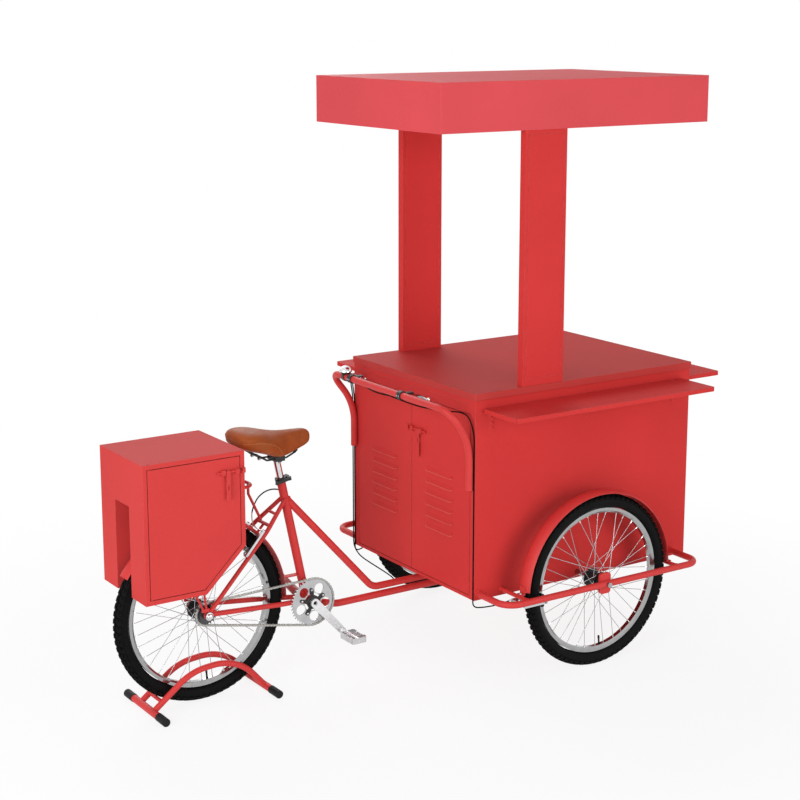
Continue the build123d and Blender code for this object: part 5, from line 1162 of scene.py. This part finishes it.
STITCH_DROP = 5.0
STITCH_LIFT = 0.0002
STITCH_SHARE = 0.62
STITCH_SHORTEST = 0.001
STITCH_STATIONS = [(0.0, 0.0004), (0.2, 0.0007), (0.8, 0.0007), (1.0, 0.0004)]
STITCH_SIDES = 6
stitch_line = saddle_seam(STITCH_DROP)
stitches = bmesh.new()
for (spot, normal), following in zip(stitch_line, stitch_line[1:]):
    start = spot + normal * STITCH_LIFT
    end = spot.lerp(following[0], STITCH_SHARE) + normal * STITCH_LIFT
    if (end - start).length > STITCH_SHORTEST:
        turned_bar(stitches, start, end, STITCH_STATIONS, STITCH_SIDES)
add_piece("saddle_stitches", stitches, thread, "seat")

give_finish(black_alloy, "saddle_frame", "seat_clamp", "seat_clamp_lever")
give_finish(chrome, "seat_post")
FRAME_NUT_PLACES = [
    # x and z of the wire or clamp, and how far its underside lies below
    (238.0, 872.0, 4.6), (322.0, 852.0, 9.0),
]
FRAME_NUT_Y = 26.0
FRAME_NUT_RADIUS = 0.0058
FRAME_NUT_HEIGHT = 0.0062
frame_nuts = bmesh.new()
for side in (-1, 1):
    for nut_x, nut_z, drop in FRAME_NUT_PLACES:
        nut_seat = from_axle(nut_x, side * FRAME_NUT_Y, nut_z - drop)
        hex_bolt(frame_nuts, nut_seat, -UPWARD, FRAME_NUT_RADIUS, FRAME_NUT_HEIGHT)
add_piece("saddle_frame_nuts", frame_nuts, plated_steel, "seat")


# Rear brake: two alloy arms on the stays' bosses, joined over the mudguard by a bare wire.
# A bright bent pipe guides the wire from the end of the cable to the right arm.

give_finish(satin_alloy, "rear_brake_arm_right", "rear_brake_arm_left")
BRAKE_BOSS = Vector((0.1729, 0.0585, 0.1847))
BOSS_REACH = 0.253
arm_outward = Vector((BRAKE_BOSS.x, 0, BRAKE_BOSS.z)).normalized()
boss_backward = Vector((-arm_outward.z, 0, arm_outward.x))


def by_boss(out, back, y):
    """A point by the brake's bosses: further out from the axle, further back, and across the cycle."""
    spot = rear_centre + arm_outward * (BOSS_REACH + out) + boss_backward * back
    return Vector((spot.x, y, spot.z))


REAR_BLOCK_OUT = 0.019
REAR_BLOCK_BACK = 0.0155
REAR_BLOCK_Y = 0.021
REAR_BLOCK_HALF_LENGTH = 0.026
PIVOT_BACK = 0.024
PIVOT_BOLT_HEIGHT = 0.003
for side, name in SIDES:
    block = bmesh.new()
    block_middle = by_boss(REAR_BLOCK_OUT, REAR_BLOCK_BACK, side * REAR_BLOCK_Y)
    grooved_block(block, block_middle, boss_backward, arm_outward, REAR_BLOCK_HALF_LENGTH)
    add_piece("rear_brake_block_" + name, block, black_rubber, "brake_arm_" + name)
    pivot = by_boss(0.0, PIVOT_BACK, side * BRAKE_BOSS.y)
    pivot_bolt = bmesh.new()
    hex_bolt(pivot_bolt, pivot, boss_backward, BRAKE_BOLT_RADIUS, PIVOT_BOLT_HEIGHT)
    add_piece("rear_brake_bolt_" + name, pivot_bolt, plated_steel, "rear_frame")

WIRE_OUT = 0.100
WIRE_BACK = 0.022
WIRE_ENDS_Y = (-0.062, 0.066)
WIRE_STATIONS = [(0.0, 0.0008), (1.0, 0.0008)]
WIRE_SIDES = 8
wire_start, wire_end = [by_boss(WIRE_OUT, WIRE_BACK, end_y) for end_y in WIRE_ENDS_Y]
wire = bmesh.new()
turned_bar(wire, wire_start, wire_end, WIRE_STATIONS, WIRE_SIDES)
add_piece("brake_wire", wire, plated_steel, "rear_frame")

PIPE_RADIUS = 0.0024
PIPE_SIDES = 12
PIPE_ROUTE = [
    (229.0, 19.0, 656.0), (226.0, 15.0, 644.0), (223.0, 8.0, 630.0), (222.0, -4.0, 617.0),
    (223.0, -20.0, 609.0), (225.0, -38.0, 607.0), (225.2, -58.0, 606.4),
]
pipe = bmesh.new()
tube_rows(pipe, [from_axle(*place) for place in PIPE_ROUTE], PIPE_RADIUS, PIPE_SIDES)
add_piece("brake_pipe", pipe, chrome, "rear_frame")


# Handlebar, brake levers and bell: a red tube bent over the box's rear corners, with black clamp bands.
# The levers are polished alloy, and the bell is a chromed dome over a black base.

give_finish(tube_coat, "handlebar")
give_finish(black_alloy, "lever_mounts")
give_finish(chrome, "brake_lever_right", "brake_lever_left")
DOME_DROP = 0.0235
DOME_LINE = 0.0004
DOME_CHROME = {"Colour": (0.80, 0.80, 0.81), "Polished": 0.06, "Handled": 0.15}
BELL_BASE = {"Colour": (0.015, 0.015, 0.015)}
bell_finish, bell_tree, bell_shader = new_material("bell_chrome_on_black")
bell_place = bell_tree.nodes.new("ShaderNodeTexCoord")
bell_height = bell_tree.nodes.new("ShaderNodeSeparateXYZ")
bell_tree.links.new(bell_place.outputs["Object"], bell_height.inputs["Vector"])
dome_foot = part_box("bell")[1].z - DOME_DROP
dome_mask = remap(bell_tree, bell_height.outputs["Z"], (dome_foot, dome_foot + DOME_LINE), FULL_RANGE)
bell_dome = use_group(bell_tree, metal_group, DOME_CHROME)
bell_base = use_group(bell_tree, grain_group, BELL_BASE)
bell_colour = mixed(bell_tree, dome_mask, bell_base.outputs["Colour"], bell_dome.outputs["Colour"])
bell_tree.links.new(bell_colour, bell_shader.inputs["Base Color"])
bell_tree.links.new(dome_mask, bell_shader.inputs["Metallic"])
bell_tree.links.new(bell_dome.outputs["Roughness"], bell_shader.inputs["Roughness"])
give_finish(bell_finish, "bell")

BAR_X = 800.0
BAR_Z = 1040.0
LEVER_PLACES = (246.0, -100.0)
BAND_FACE = 17.2
BAND_SCREW_OFFSETS = (-6.0, 6.0)
BAND_SCREW_RADIUS = 0.0030
BAND_SCREW_HEIGHT = 0.0022
band_screws = bmesh.new()
for lever_y in LEVER_PLACES:
    for offset_y in BAND_SCREW_OFFSETS:
        seat = from_axle(BAR_X - BAND_FACE, lever_y + offset_y, BAR_Z)
        pan_screw(band_screws, seat, -FORWARD, BAND_SCREW_RADIUS, BAND_SCREW_HEIGHT)
add_piece("band_screws", band_screws, plated_steel, "cart")


# Brake cables: steel wire in a black plastic jacket, two to the front calipers and one to the rear brake.
# They hang slack under the bar and drop down the box's rear corners, and the two front ones end in crimped
# ferrules.

cable_jacket = moulded("cable_jacket", (0.003, 0.003, 0.003), dust=0.03, relief=0.0002, shine=0.03)
CABLE_DIAMETER = 0.005
CABLE_STEPS = 16
CABLE_ROUNDING = 3
CABLE_SIDES = 12
RIGHT_ROUTE = [
    (850.0, 230.0, 1038.0), (844.0, 182.0, 1028.0), (820.0, 106.0, 1022.0), (810.0, 6.0, 1020.0),
    (810.0, -110.0, 1016.0), (816.0, -210.0, 1014.0), (848.0, -310.0, 1016.0), (886.0, -380.0, 1020.0),
    (899.2, -402.6, 990.0), (911.2, -406.6, 930.0), (911.2, -406.6, 869.0), (911.2, -406.6, 326.0),
    (911.2, -406.6, 284.0), (951.2, -418.6, 280.0), (1004.0, -452.6, 292.0), (1041.0, -474.0, 309.5),
]
LEFT_ROUTE = [
    (838.0, -84.0, 1038.0), (834.0, -40.0, 1022.0), (818.0, 30.0, 1013.0), (816.0, 120.0, 1012.0),
    (840.0, 210.0, 1012.0), (866.0, 305.0, 1016.0), (886.0, 380.0, 1020.0), (899.2, 402.6, 990.0),
    (911.2, 406.6, 930.0), (911.2, 406.6, 869.0), (911.2, 406.6, 326.0), (911.2, 406.6, 284.0),
    (951.2, 418.6, 280.0), (1004.0, 452.6, 292.0), (1041.0, 474.0, 309.5),
]
REAR_ROUTE = [
    (830.0, 261.0, 1024.0), (844.0, 306.0, 1018.0), (872.0, 376.0, 1018.0), (893.1, 404.5, 990.0),
    (905.1, 408.5, 930.0), (905.1, 408.5, 868.7), (905.1, 408.5, 376.6), (905.1, 408.5, 340.0),
    (903.1, 402.5, 304.0), (909.1, 368.5, 272.0), (927.1, 308.5, 252.0), (929.1, 218.5, 244.0),
    (911.1, 128.5, 248.0), (871.1, 56.5, 262.0), (793.0, 22.8, 280.0), (733.0, 16.8, 284.0),
    (692.5, 16.8, 328.3), (492.5, 16.8, 546.9), (423.0, 16.8, 622.9), (372.0, 26.0, 712.0),
    (320.0, 34.0, 728.0), (270.0, 34.0, 712.0), (238.0, 26.0, 676.0), (228.0, 18.0, 652.0),
]


def cable_curve(name, route):
    """A smooth curve whose control points are the route's points."""
    curve = bpy.data.curves.new(name, "CURVE")
    curve.dimensions = "3D"
    curve.resolution_u = CABLE_STEPS
    spline = curve.splines.new("NURBS")
    spline.points.add(len(route) - 1)
    for point, place in zip(spline.points, route):
        point.co = (*from_axle(*place), 1.0)
    spline.order_u = 3
    spline.use_endpoint_u = True
    return in_scene(name, curve)


def line_points(line):
    """Points along a curve that has no thickness yet."""
    mesh = plain_copy(line)
    points = [vertex.co.copy() for vertex in mesh.vertices]
    bpy.data.meshes.remove(mesh)
    return points


def line_length(points):
    """Length along a row of points."""
    return sum((second - first).length for first, second in zip(points, points[1:]))


FERRULE_STATIONS = [(0.0, 0.0030), (0.1, 0.0034), (0.7, 0.0034), (0.75, 0.0030), (1.0, 0.0029)]
FERRULE_LENGTH = 0.012
FERRULE_SIDES = 12
FERRULE_AIM = 3


def ferrules(name, points, body):
    """Crimped metal sleeve on each end of a cable."""
    work = bmesh.new()
    for end, inner in ((points[0], points[FERRULE_AIM]), (points[-1], points[-1 - FERRULE_AIM])):
        inward = (inner - end).normalized()
        turned_bar(work, end, end + inward * FERRULE_LENGTH, FERRULE_STATIONS, FERRULE_SIDES)
    return add_piece(name, work, satin_alloy, body)


for name, route in (("front_cable_right", RIGHT_ROUTE), ("front_cable_left", LEFT_ROUTE)):
    cable = cable_curve(name, route)
    points = line_points(cable)
    cable.data.bevel_depth = CABLE_DIAMETER / 2
    cable.data.bevel_resolution = CABLE_ROUNDING
    cable.data.use_fill_caps = True
    cable.data.materials.append(cable_jacket)
    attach(cable, "cart")
    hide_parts("front_brake_cables")
    crimps = ferrules(name + "_ferrules", points, "cart")
    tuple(points[0])
    line_length(points)

rear_line = cable_curve("rear_cable_line", REAR_ROUTE)
rear_points = line_points(rear_line)
bpy.data.objects.remove(rear_line)
rear_cable_work = bmesh.new()
tube_rows(rear_cable_work, rear_points, CABLE_DIAMETER / 2, CABLE_SIDES)
rear_cable_mesh = finished_mesh("rear_cable", rear_cable_work, sharp_angle=60)
rear_cable_mesh.materials.append(cable_jacket)
rear_cable = in_scene("rear_cable", rear_cable_mesh)
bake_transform(rear_cable)
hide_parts("rear_brake_cable")
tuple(rear_points[0])
line_length(rear_points)


# Wheel stand: two arched tubes on foot bars, coated red, with thick rubber caps on the bars' ends.
# It is lifted away before the cart is ridden.
give_finish(tube_coat, "stand")
give_finish(black_rubber, "stand_feet")
